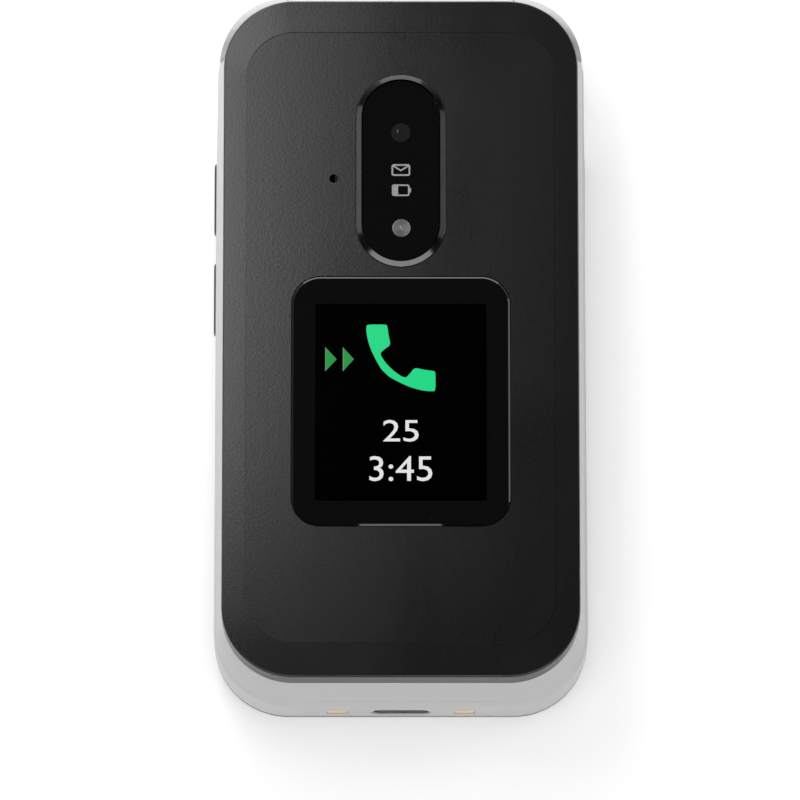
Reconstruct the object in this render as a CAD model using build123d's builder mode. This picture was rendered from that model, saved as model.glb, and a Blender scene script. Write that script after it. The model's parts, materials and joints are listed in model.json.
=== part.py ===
from build123d import *
import os
from math import atan2, cos, degrees, hypot, radians, sin

# Flip phone, closed and lying on its back.
# +Z is up through the lid's outer face, +Y points to the hinge end and +X to the right-hand side as the
# outer display is read. The origin is the middle of the footprint, at table height. Millimetres throughout.

# ---------------------------------------------------------------- overall sizes
length = 111.0
width = 56.5
parting = 11.0  # height of the keypad face
lid_gap = 0.3  # between the keypad face and the lid
lid_height = 8.2  # from the lid's bezel to its flat outer face
corner = 11.3  # plan corner of the base
seam = 3.8  # height of the joint between the front case and the back
back_round = 3.4  # rounding of the back's edge
fit = 0.1  # gap round a piece that is dropped into a pocket
slip = 0.05  # play between stacked pieces that move
past = 1.0  # a cut through a wall runs this far past it
sliver = 0.001  # straight stretch left between a slot's round ends
free_end = -length / 2
frame_bottom = parting + lid_gap
thickness = frame_bottom + lid_height  # closed, from the back to the flat face of the lid

# ---------------------------------------------------------------- hinge
barrel_r = 5.0
hinge_rise = 1.2  # height of the hinge axis above the keypad face
knuckle_width = 11.0  # each knuckle of the base, along the axis
knuckle_gap = 0.2  # between the barrel's ends and the base's knuckles
swing_gap = 0.25  # round a turning surface
hinge_wall = 1.65  # solid stretch between the base's hollow and the knuckles
opening_angle = 160.0
neck_spare_angle = 4.0  # the lid's end wall stops this far short of the base's neck
running = 0.05  # radial play of a turning fit
push = 0.02  # radial play of a fixed fit
cartridge_r, cartridge_low_x, cartridge_floor = 2.8, 2.2, 1.5
shaft_r = 1.2
pin_r, pin_bore, pin_reach, pin_play = 2.5, 1.7, 11.0, 1.0
seat_depth = 5.5  # of the shaft and the pin in the knuckles
hinge_y = length / 2 - barrel_r
hinge_z = parting + hinge_rise
knuckle_clear_r = barrel_r + swing_gap
barrel_half = width / 2 - knuckle_width  # half the length of the lid's barrel
seat_high_x = barrel_half + seat_depth
pocket_end_y = hinge_y - knuckle_clear_r - hinge_wall  # the base is hollow up to here

# ---------------------------------------------------------------- lid cover
cover_side_set, cover_end_set = 1.25, 2.4  # the cover's edge lies this far inside the base's outline
cover_corner = corner - 0.5
cover_height = 4.1  # from the cover's lower edge to the flat outer face
cover_wall = 1.4
roof_wall = 1.8
border_drop = 0.3  # fall of the sloping border
border_side, border_end = 3.5, 5.1
panel_corner = 7.2
crease_width, crease_depth = 0.22, 0.16
rim_round = 0.35
cover_width = width - 2 * cover_side_set
cover_length = length - 2 * cover_end_set
cover_bottom = thickness - cover_height
roof_z = thickness - roof_wall  # underside of the cover's roof
bevel_z = thickness - border_drop
panel_high_y = cover_length / 2 - border_end

bar_w, bar_h = 13.6, 30.4  # ring round the camera bar
bar_from_hinge = 24.55  # from the hinge axis to the middle of the bar
bar_ring, bar_ring_flat, bar_depth, bar_ledge = 0.85, 0.15, 1.2, 2.0
bar_proud, bar_slope = 0.4, 0.3
bar_glass_drop = 0.25  # the glass lies this far below the ring's crest
bar_y = hinge_y - bar_from_hinge
bar_seat = thickness - bar_depth
lens_y, lens_r, lens_wall = bar_y + 6.0, 1.5, 0.9
flash_y, flash_r = bar_y - 9.0, 1.4
sign_ys = (bar_y + 0.05, bar_y - 3.15)  # message light and battery light
mic_x, mic_y, mic_r = -bar_w / 2 - 3.4, bar_y - 1.25, 0.68
camera_size, flash_size = 6.4, 3.6
sign_w, sign_h = 2.2, 1.2
lid_mic_w, lid_mic_h = 3.6, 2.8

window_w, window_h, window_corner = 33.1, 39.0, 4.4
window_below_bar = 1.55  # between the bar's lower end and the window
window_depth, window_ledge = 1.0, 2.8
window_proud, window_chamfer = 0.1, 0.4
display_play = 0.3  # round the outer display in its opening
window_y = bar_y - bar_h / 2 - window_below_bar - window_h / 2
window_seat = thickness - window_depth

# ---------------------------------------------------------------- lid frame and inner display
frame_inset = 0.4
frame_wall, frame_edge = 2.3, 0.3
bezel_height = 1.7
frame_hinge_wall = 2.15
tongue_height = 1.0
glass_side, glass_chin, glass_brow, glass_corner = 3.5, 11.9, 22.9, 3.0
glass_sunk, glass_height, glass_edge = 0.2, 0.8, 0.2
picture_side, picture_low, picture_high = 2.9, 8.2, 4.2  # from the glass's edges to the picture
opening_play = 0.8  # round the picture in the bezel
display_side, display_end, display_height = 2.2, 3.7, 1.9
earpiece_from_end, earpiece_w, earpiece_h, earpiece_corner = 7.7, 13.0, 6.0, 1.5
slot_w, slot_h = 9.0, 1.3
bumper_from_side, bumper_from_end, bumper_r, bumper_sunk = 10.5, 6.0, 1.6, 0.8
bumper_gap = 0.1  # between the bumpers and the keypad face
lid_screw_from_side, lid_screw_from_end, lid_screw_from_hinge = 7.1, 9.7, 14.4
lid_boss_r, lid_screw_short = 1.9, 1.0
lid_board_side, lid_board_from_end, lid_board_from_hinge, lid_board_height = 9.0, 12.9, 11.9, 0.6
frame_floor = frame_bottom + bezel_height  # upper side of the bezel
frame_end_y = hinge_y - knuckle_clear_r - frame_hinge_wall  # the frame's pocket ends here
glass_w = width - 2 * glass_side
glass_low_y, glass_high_y = free_end + glass_chin, hinge_y - glass_brow
glass_low = frame_bottom + glass_sunk
glass_high = glass_low + glass_height
picture_w = glass_w - 2 * picture_side
picture_low_y, picture_high_y = glass_low_y + picture_low, glass_high_y - picture_high
display_top = frame_floor + display_height
earpiece_y = free_end + earpiece_from_end
bumper_x, bumper_y = width / 2 - bumper_from_side, free_end + bumper_from_end
bumper_seat = frame_bottom + bumper_sunk
lid_screw_x = width / 2 - lid_screw_from_side
lid_screw_ys = (free_end + lid_screw_from_end, hinge_y - lid_screw_from_hinge)
lid_board_w = width - 2 * lid_board_side
lid_board_low_y, lid_board_high_y = free_end + lid_board_from_end, hinge_y - lid_board_from_hinge
lid_board_low = display_top + fit
lid_board_high = lid_board_low + lid_board_height

# ---------------------------------------------------------------- keypad
case_wall, case_edge = 1.6, 0.5
field_sunk = 0.4  # the keypad field lies this far below the parting
field_margin, field_corner = 3.3, 4.0  # from the field to the side of the base
keypad_wall = 0.9
key_proud, key_gap, key_corner, key_edge = 0.3, 0.15, 2.0, 0.25
key_travel = 0.3
key_flange, flange_height = 0.35, 0.3
film, dome_height, dome_r, dome_sides, nub_w = 0.1, 0.2, 2.0, 8, 2.2
mat_hole_r, mat_side, mat_low_set, mat_high_set = 2.3, 1.4, 0.6, 1.4
first_row_from_end, row_pitch, digit_h = 11.7, 10.6, 9.0
column_gap, field_edge = 1.4, 1.7  # between keys, and from the outer keys to the field's sides
field_low, field_high = 1.9, 2.5  # from the outer rows to the field's ends
shortcut_h, shortcut_gap = 7.4, 2.3
side_h, call_gap, soft_gap = 8.6, 2.8, 2.1
nav_more_w, nav_h, nav_corner = 0.2, 20.0, 4.5
ok_size, ok_corner = 7.4, 2.4
ok_play, ok_opening_corner = 0.5, 1.6  # of the opening in the navigation key
keypad_face = parting - field_sunk
keypad_underside = keypad_face - keypad_wall
flange_top = keypad_underside - slip
flange_bottom = flange_top - flange_height
field_w = width - 2 * field_margin
digit_w = (field_w - 2 * field_edge - 2 * column_gap) / 3
column_pitch = digit_w + column_gap
first_row_y = free_end + first_row_from_end
shortcut_y = first_row_y + 3 * row_pitch + (digit_h + shortcut_h) / 2 + shortcut_gap
call_y = shortcut_y + (shortcut_h + side_h) / 2 + call_gap
soft_y = call_y + side_h + soft_gap
nav_y = (call_y + soft_y) / 2
nav_w = digit_w + nav_more_w
field_low_y = first_row_y - digit_h / 2 - field_low
field_high_y = soft_y + side_h / 2 + field_high
mat_w = field_w - 2 * mat_side
mat_low_y, mat_high_y = field_low_y + mat_low_set, field_high_y - mat_high_set

# ---------------------------------------------------------------- circuit board and chassis
board_depth, board_height = 3.4, 0.8  # the board's underside lies this far below the keypad face
board_side, board_from_end, board_from_pocket = 3.7, 2.1, 1.0
plate_gap, plate_height = 0.2, 0.8
plate_inset = case_wall + 0.2
plate_from_pocket, plate_behind_usb = 0.2, 0.9
board_w = width - 2 * board_side
board_low = parting - board_depth
board_high = board_low + board_height
board_low_y, board_high_y = free_end + board_from_end, pocket_end_y - board_from_pocket
plate_high = board_low - plate_gap
plate_low = plate_high - plate_height
mat_low = board_high + film
mat_high = flange_bottom - key_travel - slip
nub_bottom = mat_low + dome_height + key_travel + slip

# ---------------------------------------------------------------- side and back keys
side_key_h, side_key_w = 11.5, 2.9
side_key_z = board_low + 0.1
side_key_proud, side_flange, side_flange_depth = 0.3, 0.5, 0.4
side_stem_h, side_stem_w = 3.0, 2.4
switch_set, switch_depth, switch_h, switch_height, switch_sunk = 3.4, 1.1, 3.2, 0.8, 0.2
volume_from_hinge, volume_pitch = 25.8, 15.9
side_notch_set, side_notch_low, side_notch_high = 3.7, 7.3, 6.7
assist_from_hinge, assist_w, assist_h, assist_corner = 12.5, 17.6, 5.6, 2.7
assist_sunk, assist_flange, assist_flange_height = 0.3, 0.6, 0.4
assist_stem_r, assist_play, assist_switch_r, assist_switch_height = 1.4, 1.0, 1.8, 1.2
volume_up_y = hinge_y - volume_from_hinge
volume_down_y = volume_up_y - volume_pitch
volume_keys = (("volume_up_key", volume_up_y), ("volume_down_key", volume_down_y))
switch_x = -width / 2 + switch_set  # side switches
assist_y = hinge_y - assist_from_hinge
assist_switch_low = board_low - assist_switch_height

# ---------------------------------------------------------------- back and inside of the base
back_wall = 1.3
pocket_inset = 2.2
cover_end_from_hinge = 18.1
cover_end_gap = 0.2
end_wall = 1.4
lip_drop = 6.7  # the back's lip lies this far below the hinge axis
nail_notch_w, nail_notch_depth, nail_notch_height = 12.0, 0.7, 0.9
battery_side, battery_h, battery_corner, battery_play = 8.0, 50.0, 1.5, 0.15
bay_wall, bay_gap, bay_from_end = 1.0, 0.3, 0.5
boss_set, boss_r, boss_notch = 3.05, 1.5, 0.3
boss_from_end, boss_below_volume, boss_from_hinge = 18.9, 12.3, 14.5
screw_r, screw_head_r, screw_head = 0.65, 1.3, 0.8
screw_play, screw_short, screw_hole_more = 0.05, 0.3, 0.2
cover_end_y = hinge_y - cover_end_from_hinge  # the battery cover ends here
back_low_y = cover_end_y + cover_end_gap
lip_height = hinge_z - lip_drop
battery_w = width - 2 * battery_side
battery_low, battery_high = back_wall + battery_play, plate_low - battery_play
bay_w, bay_h = battery_w + 2 * bay_gap, battery_h + 2 * bay_gap
battery_y = cover_end_y - bay_from_end - bay_wall - bay_h / 2
bay_low_y = battery_y - bay_h / 2
boss_x = width / 2 - boss_set
boss_ys = (free_end + boss_from_end, volume_down_y - boss_below_volume, hinge_y - boss_from_hinge)
screw_reach = keypad_underside - screw_short

usb_w, usb_h, usb_depth, usb_skin, usb_mouth, usb_back = 8.94, 3.16, 7.3, 0.3, 0.2, 1.0
usb_tongue_w, usb_tongue_h, usb_tongue_set = 6.7, 0.7, 0.8
contact_x, contact_w, contact_h, contact_corner = 9.6, 3.0, 1.8, 0.4
contact_sunk, contact_flange, contact_depth = 0.1, 0.8, 0.8
speaker_x, speaker_from_end, speaker_w, speaker_h, speaker_corner = -12.0, 17.9, 16.0, 12.0, 3.0
speaker_lift, speaker_height, speaker_seat_inset = 0.2, 3.5, 1.5
grille_slots, grille_pitch, grille_w, grille_h = 5, 2.2, 1.1, 9.0
motor_x, motor_from_end, motor_r, motor_height = 13.0, 14.4, 4.0, 3.0
sim_x, sim_w, sim_h, sim_height, sim_gap = 12.0, 17.0, 13.0, 1.4, 0.2
battery_contact_x, battery_contact_w, battery_contact_d = -10.0, 9.0, 1.5
battery_contact_low, finger_lift, finger_height = 2.0, 1.0, 2.0
finger_pitch, finger_w, finger_reach = 2.5, 1.0, 0.25
antenna_side, antenna_from_wall, antenna_height = 11.0, 2.0, 1.4
base_mic_from_end, base_mic_size, base_mic_height, mic_hole_r = 3.9, 2.8, 1.0, 0.4
tab_low_set, tab_high_set, tab_root, tab_reach, tab_height = 5.7, 2.7, 3.3, 1.2, 0.8
shield_side, shield_low_gap, shield_high_gap, shield_height = 10.0, 1.1, 1.5, 1.0
usb_low_y = free_end + usb_mouth
usb_z = board_low - usb_h / 2  # the socket hangs under the board
speaker_y = free_end + speaker_from_end
speaker_low = back_wall + speaker_lift
speaker_high = speaker_low + speaker_height
motor_y = free_end + motor_from_end
sim_y = bay_low_y - bay_wall - sim_gap - sim_h / 2
plate_low_y = usb_low_y + usb_depth + plate_behind_usb
plate_high_y = pocket_end_y - plate_from_pocket
antenna_w = width - 2 * antenna_side
antenna_low_y, antenna_high_y = back_low_y + antenna_from_wall, board_high_y
base_mic_y = free_end + base_mic_from_end
shield_w = width - 2 * shield_side

os.makedirs("parts", exist_ok=True)

# The lid's crest passes the base's lip on this radius, and the base stands clear of it.
swing_r = hypot(hinge_y - panel_high_y, thickness - hinge_z) + swing_gap
# Lower edge of the cover's end wall, as an angle about the hinge, and the side of the neck that stays
# clear of it when the lid is fully open.
cover_overhang = cover_length / 2 - hinge_y
cover_end_angle = degrees(atan2((knuckle_clear_r ** 2 - cover_overhang ** 2) ** 0.5, cover_overhang))
neck_angle = radians(cover_end_angle - opening_angle - neck_spare_angle)
neck_y = hinge_y + swing_r * cos(neck_angle)
neck_z = hinge_z + swing_r * sin(neck_angle)


# ================================================================ shared shapes
def rounded(w, h, r, x=0.0, y=0.0, mode=Mode.ADD):
    """Rounded rectangle about a point."""
    with Locations((x, y)):
        RectangleRounded(w, h, r, mode=mode)


def stadium(w, h, x=0.0, y=0.0, mode=Mode.ADD):
    """Slot with round ends about a point."""
    rounded(w, h, (min(w, h) - sliver) / 2, x, y, mode)


def outline(inset=0.0):
    """Plan outline of the base, drawn inset from its widest line."""
    rounded(width - 2 * inset, length - 2 * inset, corner - inset)


def cover_outline(inset=0.0):
    """Plan outline of the lid's cover."""
    rounded(cover_width - 2 * inset, cover_length - 2 * inset, cover_corner - inset)


def panel(inset=0.0, mode=Mode.ADD):
    """Flat middle of the lid's cover, inside the sloping border."""
    rounded(
        cover_width - 2 * border_side - 2 * inset, 2 * panel_high_y - 2 * inset,
        panel_corner - inset, mode=mode,
    )


def pill(inset=0.0):
    """Outline of the camera bar, an upright slot with round ends."""
    stadium(bar_w - 2 * inset, bar_h - 2 * inset, y=bar_y)


def keep_between(low_y, high_y):
    """Trims the open sketch to the stretch between two stations."""
    with Locations((0, (low_y + high_y) / 2)):
        Rectangle(width, high_y - low_y, mode=Mode.INTERSECT)


def block(low_x, high_x, low_y, high_y, low_z, high_z, mode=Mode.ADD):
    """Plain block between two corners."""
    middle = ((low_x + high_x) / 2, (low_y + high_y) / 2, (low_z + high_z) / 2)
    with Locations(middle):
        Box(high_x - low_x, high_y - low_y, high_z - low_z, mode=mode)


def slab(x, y, w, h, low_z, high_z, mode=Mode.ADD):
    """Plain block about a point in plan, between two heights."""
    block(x - w / 2, x + w / 2, y - h / 2, y + h / 2, low_z, high_z, mode)


def rounded_slab(x, y, w, h, r, low_z, high_z, mode=Mode.ADD):
    """Block with rounded corners about a point in plan, between two heights."""
    with BuildSketch(Plane.XY.offset(low_z)) as plan:
        rounded(w, h, r, x, y)
    extrude(plan.sketch, amount=high_z - low_z, mode=mode)


def hinge_rod(radius, low_x, high_x, mode=Mode.ADD):
    """Round bar on the hinge axis."""
    with BuildSketch(Plane.YZ.offset(low_x)) as disc:
        with Locations((hinge_y, hinge_z)):
            Circle(radius)
    extrude(disc.sketch, amount=high_x - low_x, mode=mode)


def rod(radius, low_z, high_z, places, mode=Mode.ADD):
    """Upright round bars at the given places."""
    with BuildSketch(Plane.XY.offset(low_z)) as discs:
        with Locations(*places):
            Circle(radius)
    extrude(discs.sketch, amount=high_z - low_z, mode=mode)


def both_sides(x, ys):
    """Places at +x and -x for each y."""
    return [(side * x, y) for y in ys for side in (1, -1)]


def save(builder, name):
    """Labels a finished piece and writes it."""
    builder.part.label = name
    export_step(builder.part, f"parts/{name}.step")


lid_screw_places = both_sides(lid_screw_x, lid_screw_ys)
case_screw_places = both_sides(boss_x, boss_ys)
bumper_places = both_sides(bumper_x, [bumper_y])

# ================================================================ lid: outer side
with BuildPart() as lid_cover:
    with BuildSketch(Plane.XY.offset(cover_bottom)):
        cover_outline()
    extrude(amount=bevel_z - cover_bottom)
    with BuildSketch(Plane.XY.offset(bevel_z)):
        cover_outline()
    with BuildSketch(Plane.XY.offset(thickness)):
        panel()
    loft(ruled=True)
    rim = lid_cover.edges().filter_by_position(Axis.Z, bevel_z - fit, bevel_z + fit)
    fillet(rim, rim_round)
    # inside of the shell
    with BuildSketch(Plane.XY.offset(cover_bottom)):
        cover_outline(cover_wall)
    extrude(amount=roof_z - cover_bottom, mode=Mode.SUBTRACT)
    rod(lid_boss_r, frame_floor, roof_z, lid_screw_places)
    rod(screw_r + screw_play, frame_floor, roof_z - screw_short, lid_screw_places, Mode.SUBTRACT)
    # fine crease round the panel
    with BuildSketch(Plane.XY.offset(thickness - crease_depth)):
        panel()
        panel(crease_width, Mode.SUBTRACT)
    extrude(amount=crease_depth, mode=Mode.SUBTRACT)
    # seats and openings of the outer window and the camera bar, and the microphone's hole
    rounded_slab(
        0, window_y, window_w + 2 * fit, window_h + 2 * fit, window_corner + fit,
        window_seat, thickness, Mode.SUBTRACT,
    )
    with BuildSketch(Plane.XY.offset(bar_seat)):
        pill(-fit)
    extrude(amount=bar_depth, mode=Mode.SUBTRACT)
    with BuildSketch(Plane.XY.offset(roof_z)):
        with Locations((0, window_y)):
            Rectangle(window_w - 2 * window_ledge, window_h - 2 * window_ledge)
        pill(bar_ledge)
        with Locations((mic_x, mic_y)):
            Circle(mic_r)
    extrude(amount=roof_wall, mode=Mode.SUBTRACT)
    # room for the barrel and the knuckles
    hinge_rod(knuckle_clear_r, -width, width, Mode.SUBTRACT)
save(lid_cover, "lid_cover")

with BuildPart() as outer_window:
    rounded_slab(
        0, window_y, window_w, window_h, window_corner, window_seat, thickness + window_proud
    )
    chamfer(outer_window.faces().sort_by(Axis.Z)[-1].edges(), window_chamfer)
save(outer_window, "outer_window")

with BuildPart() as outer_display:
    display_inset = window_ledge + display_play
    slab(
        0, window_y, window_w - 2 * display_inset, window_h - 2 * display_inset,
        lid_board_high + fit, window_seat - fit,
    )
save(outer_display, "outer_display")

with BuildPart() as camera_ring:
    crest = thickness + bar_proud
    with BuildSketch(Plane.XY.offset(bar_seat)):
        pill()
    extrude(amount=crest - bar_slope - bar_seat)
    with BuildSketch(Plane.XY.offset(crest - bar_slope)):
        pill()
    with BuildSketch(Plane.XY.offset(crest)):
        pill(bar_ring - bar_ring_flat)
    loft(ruled=True)
    with BuildSketch(Plane.XY.offset(bar_seat)):
        pill(bar_ring)
    extrude(amount=crest - bar_seat, mode=Mode.SUBTRACT)
save(camera_ring, "camera_ring")

with BuildPart() as camera_window:
    with BuildSketch(Plane.XY.offset(bar_seat)):
        pill(bar_ring + fit)
    extrude(amount=crest - bar_glass_drop - bar_seat)
save(camera_window, "camera_window")

with BuildPart() as camera_module:
    slab(0, lens_y, camera_size, camera_size, lid_board_high, roof_z - fit)
    rod(lens_r + lens_wall, roof_z - fit, bar_seat - fit, [(0, lens_y)])
    rod(lens_r, roof_z + fit, bar_seat, [(0, lens_y)], Mode.SUBTRACT)
save(camera_module, "camera_module")

with BuildPart() as flash_led:
    slab(0, flash_y, flash_size, flash_size, lid_board_high, roof_z)
    rod(flash_r, roof_z, bar_seat - fit, [(0, flash_y)])
save(flash_led, "flash_led")

with BuildPart() as status_leds:
    for y in sign_ys:
        slab(0, y, sign_w, sign_h, lid_board_high, bar_seat - fit)
save(status_leds, "status_leds")

with BuildPart() as lid_microphone:
    slab(mic_x, mic_y, lid_mic_w, lid_mic_h, lid_board_high, roof_z - fit)
    rod(mic_r / 2, lid_board_high + fit, roof_z, [(mic_x, mic_y)], Mode.SUBTRACT)
save(lid_microphone, "lid_microphone")

with BuildPart() as lid_board:
    block(
        -lid_board_w / 2, lid_board_w / 2, lid_board_low_y, lid_board_high_y,
        lid_board_low, lid_board_high,
    )
save(lid_board, "lid_board")

# ================================================================ lid: inner side
with BuildPart() as lid_frame:
    # broken lower edge, then the side that leans in to the cover
    with BuildSketch(Plane.XY.offset(frame_bottom)):
        outline(frame_inset + frame_edge)
    with BuildSketch(Plane.XY.offset(frame_bottom + frame_edge)):
        outline(frame_inset)
    loft(ruled=True)
    with BuildSketch(Plane.XY.offset(frame_bottom + frame_edge)):
        outline(frame_inset)
    with BuildSketch(Plane.XY.offset(cover_bottom)):
        cover_outline()
    loft(ruled=True)
    # tongue that centres the cover
    with BuildSketch(Plane.XY.offset(cover_bottom)):
        cover_outline(cover_wall + fit)
    extrude(amount=tongue_height)
    with BuildSketch(Plane.XY.offset(frame_floor)):
        cover_outline(frame_wall)
        keep_between(free_end, frame_end_y)
    extrude(amount=thickness - frame_floor, mode=Mode.SUBTRACT)
    block(-width, width, frame_end_y, length, cover_bottom, thickness, Mode.SUBTRACT)
    # the hinge end: room for the knuckles, and the barrel between them
    block(-width, width, hinge_y, length, 0, thickness, Mode.SUBTRACT)
    hinge_rod(knuckle_clear_r, -width, -barrel_half, Mode.SUBTRACT)
    hinge_rod(knuckle_clear_r, barrel_half, width, Mode.SUBTRACT)
    hinge_rod(barrel_r, -barrel_half, barrel_half)
    hinge_rod(cartridge_r + push, cartridge_low_x, barrel_half, Mode.SUBTRACT)
    hinge_rod(pin_r + running, -barrel_half, pin_reach + pin_play - barrel_half, Mode.SUBTRACT)
    # seat of the inner window, and the openings of the picture, the earpiece and the screws
    rounded_slab(
        0, (glass_low_y + glass_high_y) / 2, glass_w + 2 * fit, glass_high_y - glass_low_y + 2 * fit,
        glass_corner + fit, frame_bottom, glass_high, Mode.SUBTRACT,
    )
    block(
        -picture_w / 2 - opening_play, picture_w / 2 + opening_play,
        picture_low_y - opening_play, picture_high_y + opening_play,
        glass_high, frame_floor, Mode.SUBTRACT,
    )
    with BuildSketch(Plane.XY.offset(frame_bottom)):
        stadium(slot_w, slot_h, y=earpiece_y)
        with Locations(*lid_screw_places):
            Circle(screw_r + screw_play)
    extrude(amount=frame_floor - frame_bottom, mode=Mode.SUBTRACT)
    rod(
        screw_head_r + fit, frame_bottom, frame_bottom + screw_head, lid_screw_places, Mode.SUBTRACT
    )
    rod(bumper_r + push, frame_bottom, bumper_seat, bumper_places, Mode.SUBTRACT)
save(lid_frame, "lid_frame")

with BuildPart() as inner_window:
    rounded_slab(
        0, (glass_low_y + glass_high_y) / 2, glass_w, glass_high_y - glass_low_y, glass_corner,
        glass_low, glass_high,
    )
    chamfer(inner_window.faces().sort_by(Axis.Z)[0].edges(), glass_edge)
save(inner_window, "inner_window")

with BuildPart() as inner_display:
    block(
        -picture_w / 2 - display_side, picture_w / 2 + display_side,
        picture_low_y - display_end, picture_high_y + display_end, frame_floor, display_top,
    )
save(inner_display, "inner_display")

with BuildPart() as earpiece:
    rounded_slab(
        0, earpiece_y, earpiece_w, earpiece_h, earpiece_corner, frame_floor, display_top
    )
save(earpiece, "earpiece")

with BuildPart() as lid_bumpers:
    rod(bumper_r, parting + bumper_gap, bumper_seat, bumper_places)
    chamfer(lid_bumpers.faces().group_by(Axis.Z)[0].edges(), bumper_gap)
save(lid_bumpers, "lid_bumpers")

with BuildPart() as lid_screws:
    rod(screw_head_r, frame_bottom + slip, frame_bottom + screw_head, lid_screw_places)
    rod(screw_r, frame_bottom + screw_head, roof_z - lid_screw_short, lid_screw_places)
save(lid_screws, "lid_screws")

with BuildPart() as hinge_cartridge:
    hinge_rod(cartridge_r, cartridge_low_x, barrel_half)
    hinge_rod(shaft_r + running, cartridge_low_x + cartridge_floor, barrel_half, Mode.SUBTRACT)
save(hinge_cartridge, "hinge_cartridge")


# ================================================================ keypad keys
def cap(builder, x, y, w, h, r):
    """Cap of a keypad key, from its flange up, with a chamfered top edge."""
    rounded_slab(x, y, w, h, r, flange_top, keypad_face + key_proud)
    chamfer(builder.faces().sort_by(Axis.Z)[-1].edges(), key_edge)


def nubs(name):
    """Nubs under a key, each over its own dome."""
    for x, y in nub_places[name]:
        slab(x, y, nub_w, nub_w, nub_bottom, flange_bottom)


columns = (-column_pitch, 0.0, column_pitch)
pad_names = [
    ["key_star", "key_0", "key_hash"],
    ["key_7", "key_8", "key_9"],
    ["key_4", "key_5", "key_6"],
    ["key_1", "key_2", "key_3"],
]
# name: x, y, width, height, corner radius
plain_keys = {
    name: (x, first_row_y + row * row_pitch, digit_w, digit_h, key_corner)
    for row, names in enumerate(pad_names)
    for name, x in zip(names, columns)
}
for name, x in zip(("message_key", "back_key", "camera_key"), columns):
    plain_keys[name] = (x, shortcut_y, digit_w, shortcut_h, key_corner)
for name, x, y in (
    ("call_key", -column_pitch, call_y),
    ("end_key", column_pitch, call_y),
    ("soft_left_key", -column_pitch, soft_y),
    ("soft_right_key", column_pitch, soft_y),
):
    plain_keys[name] = (x, y, digit_w, side_h, key_corner)
nub_places = {name: [(x, y)] for name, (x, y, w, h, r) in plain_keys.items()}
nub_places["ok_key"] = [(0, nav_y)]
nub_places["navigation_key"] = [(0, nav_y + side * (nav_h + ok_size) / 4) for side in (1, -1)]
all_nubs = [place for places in nub_places.values() for place in places]

for name, (x, y, w, h, r) in plain_keys.items():
    with BuildPart() as keypad_key:
        cap(keypad_key, x, y, w, h, r)
        slab(x, y, w + 2 * key_flange, h + 2 * key_flange, flange_bottom, flange_top)
        nubs(name)
    save(keypad_key, name)

with BuildPart() as ok_key:
    # bonded to the mat, so it needs no flange
    cap(ok_key, 0, nav_y, ok_size, ok_size, ok_corner)
    rounded_slab(0, nav_y, ok_size, ok_size, ok_corner, flange_bottom, flange_top)
    nubs("ok_key")
save(ok_key, "ok_key")

with BuildPart() as navigation_key:
    cap(navigation_key, 0, nav_y, nav_w, nav_h, nav_corner)
    slab(0, nav_y, nav_w + 2 * key_flange, nav_h + 2 * key_flange, flange_bottom, flange_top)
    rounded_slab(
        0, nav_y, ok_size + 2 * ok_play, ok_size + 2 * ok_play,
        ok_opening_corner, flange_bottom, parting, Mode.SUBTRACT,
    )
    nubs("navigation_key")
save(navigation_key, "navigation_key")

# ================================================================ side and back keys
side_wall_x = -width / 2 + case_wall  # inner face of the side wall
side_stem_x = side_wall_x + slip + side_flange_depth

for name, y in volume_keys:
    with BuildPart() as side_key:
        with BuildSketch(Plane.YZ.offset(-width / 2 - side_key_proud)):
            stadium(side_key_h, side_key_w, y, side_key_z)
        extrude(amount=case_wall + side_key_proud + slip)
        chamfer(side_key.faces().sort_by(Axis.X)[0].edges(), key_edge)
        with BuildSketch(Plane.YZ.offset(side_wall_x + slip)):
            with Locations((y, side_key_z)):
                Rectangle(side_key_h + 2 * side_flange, side_key_w + 2 * side_flange)
        extrude(amount=side_flange_depth)
        with BuildSketch(Plane.YZ.offset(side_stem_x)):
            with Locations((y, side_key_z)):
                Rectangle(side_stem_h, side_stem_w)
        extrude(amount=switch_x - slip - key_travel - side_stem_x)
    save(side_key, name)

with BuildPart() as assist_key:
    rounded_slab(
        0, assist_y, assist_w, assist_h, assist_corner, assist_sunk, back_wall + slip
    )
    chamfer(assist_key.faces().sort_by(Axis.Z)[0].edges(), key_edge)
    assist_flange_top = back_wall + slip + assist_flange_height
    slab(
        0, assist_y, assist_w + 2 * assist_flange, assist_h + 2 * assist_flange,
        back_wall + slip, assist_flange_top,
    )
    rod(
        assist_stem_r, assist_flange_top, assist_switch_low - key_travel - slip, [(0, assist_y)]
    )
save(assist_key, "assist_key")


# ================================================================ base: keypad shell
def usb_slot(low_y, depth, inset=0.0, mode=Mode.SUBTRACT):
    """Flat slot with round ends, running in from the free end."""
    with BuildSketch(Plane.XZ.offset(-low_y)) as mouth:
        stadium(usb_w - 2 * inset, usb_h - 2 * inset, y=usb_z)
    extrude(mouth.sketch, amount=-depth, mode=mode)


with BuildPart() as knuckles:
    hinge_rod(barrel_r, -width / 2, width / 2)
    with BuildSketch():
        outline()
    extrude(amount=thickness, mode=Mode.INTERSECT)

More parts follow.
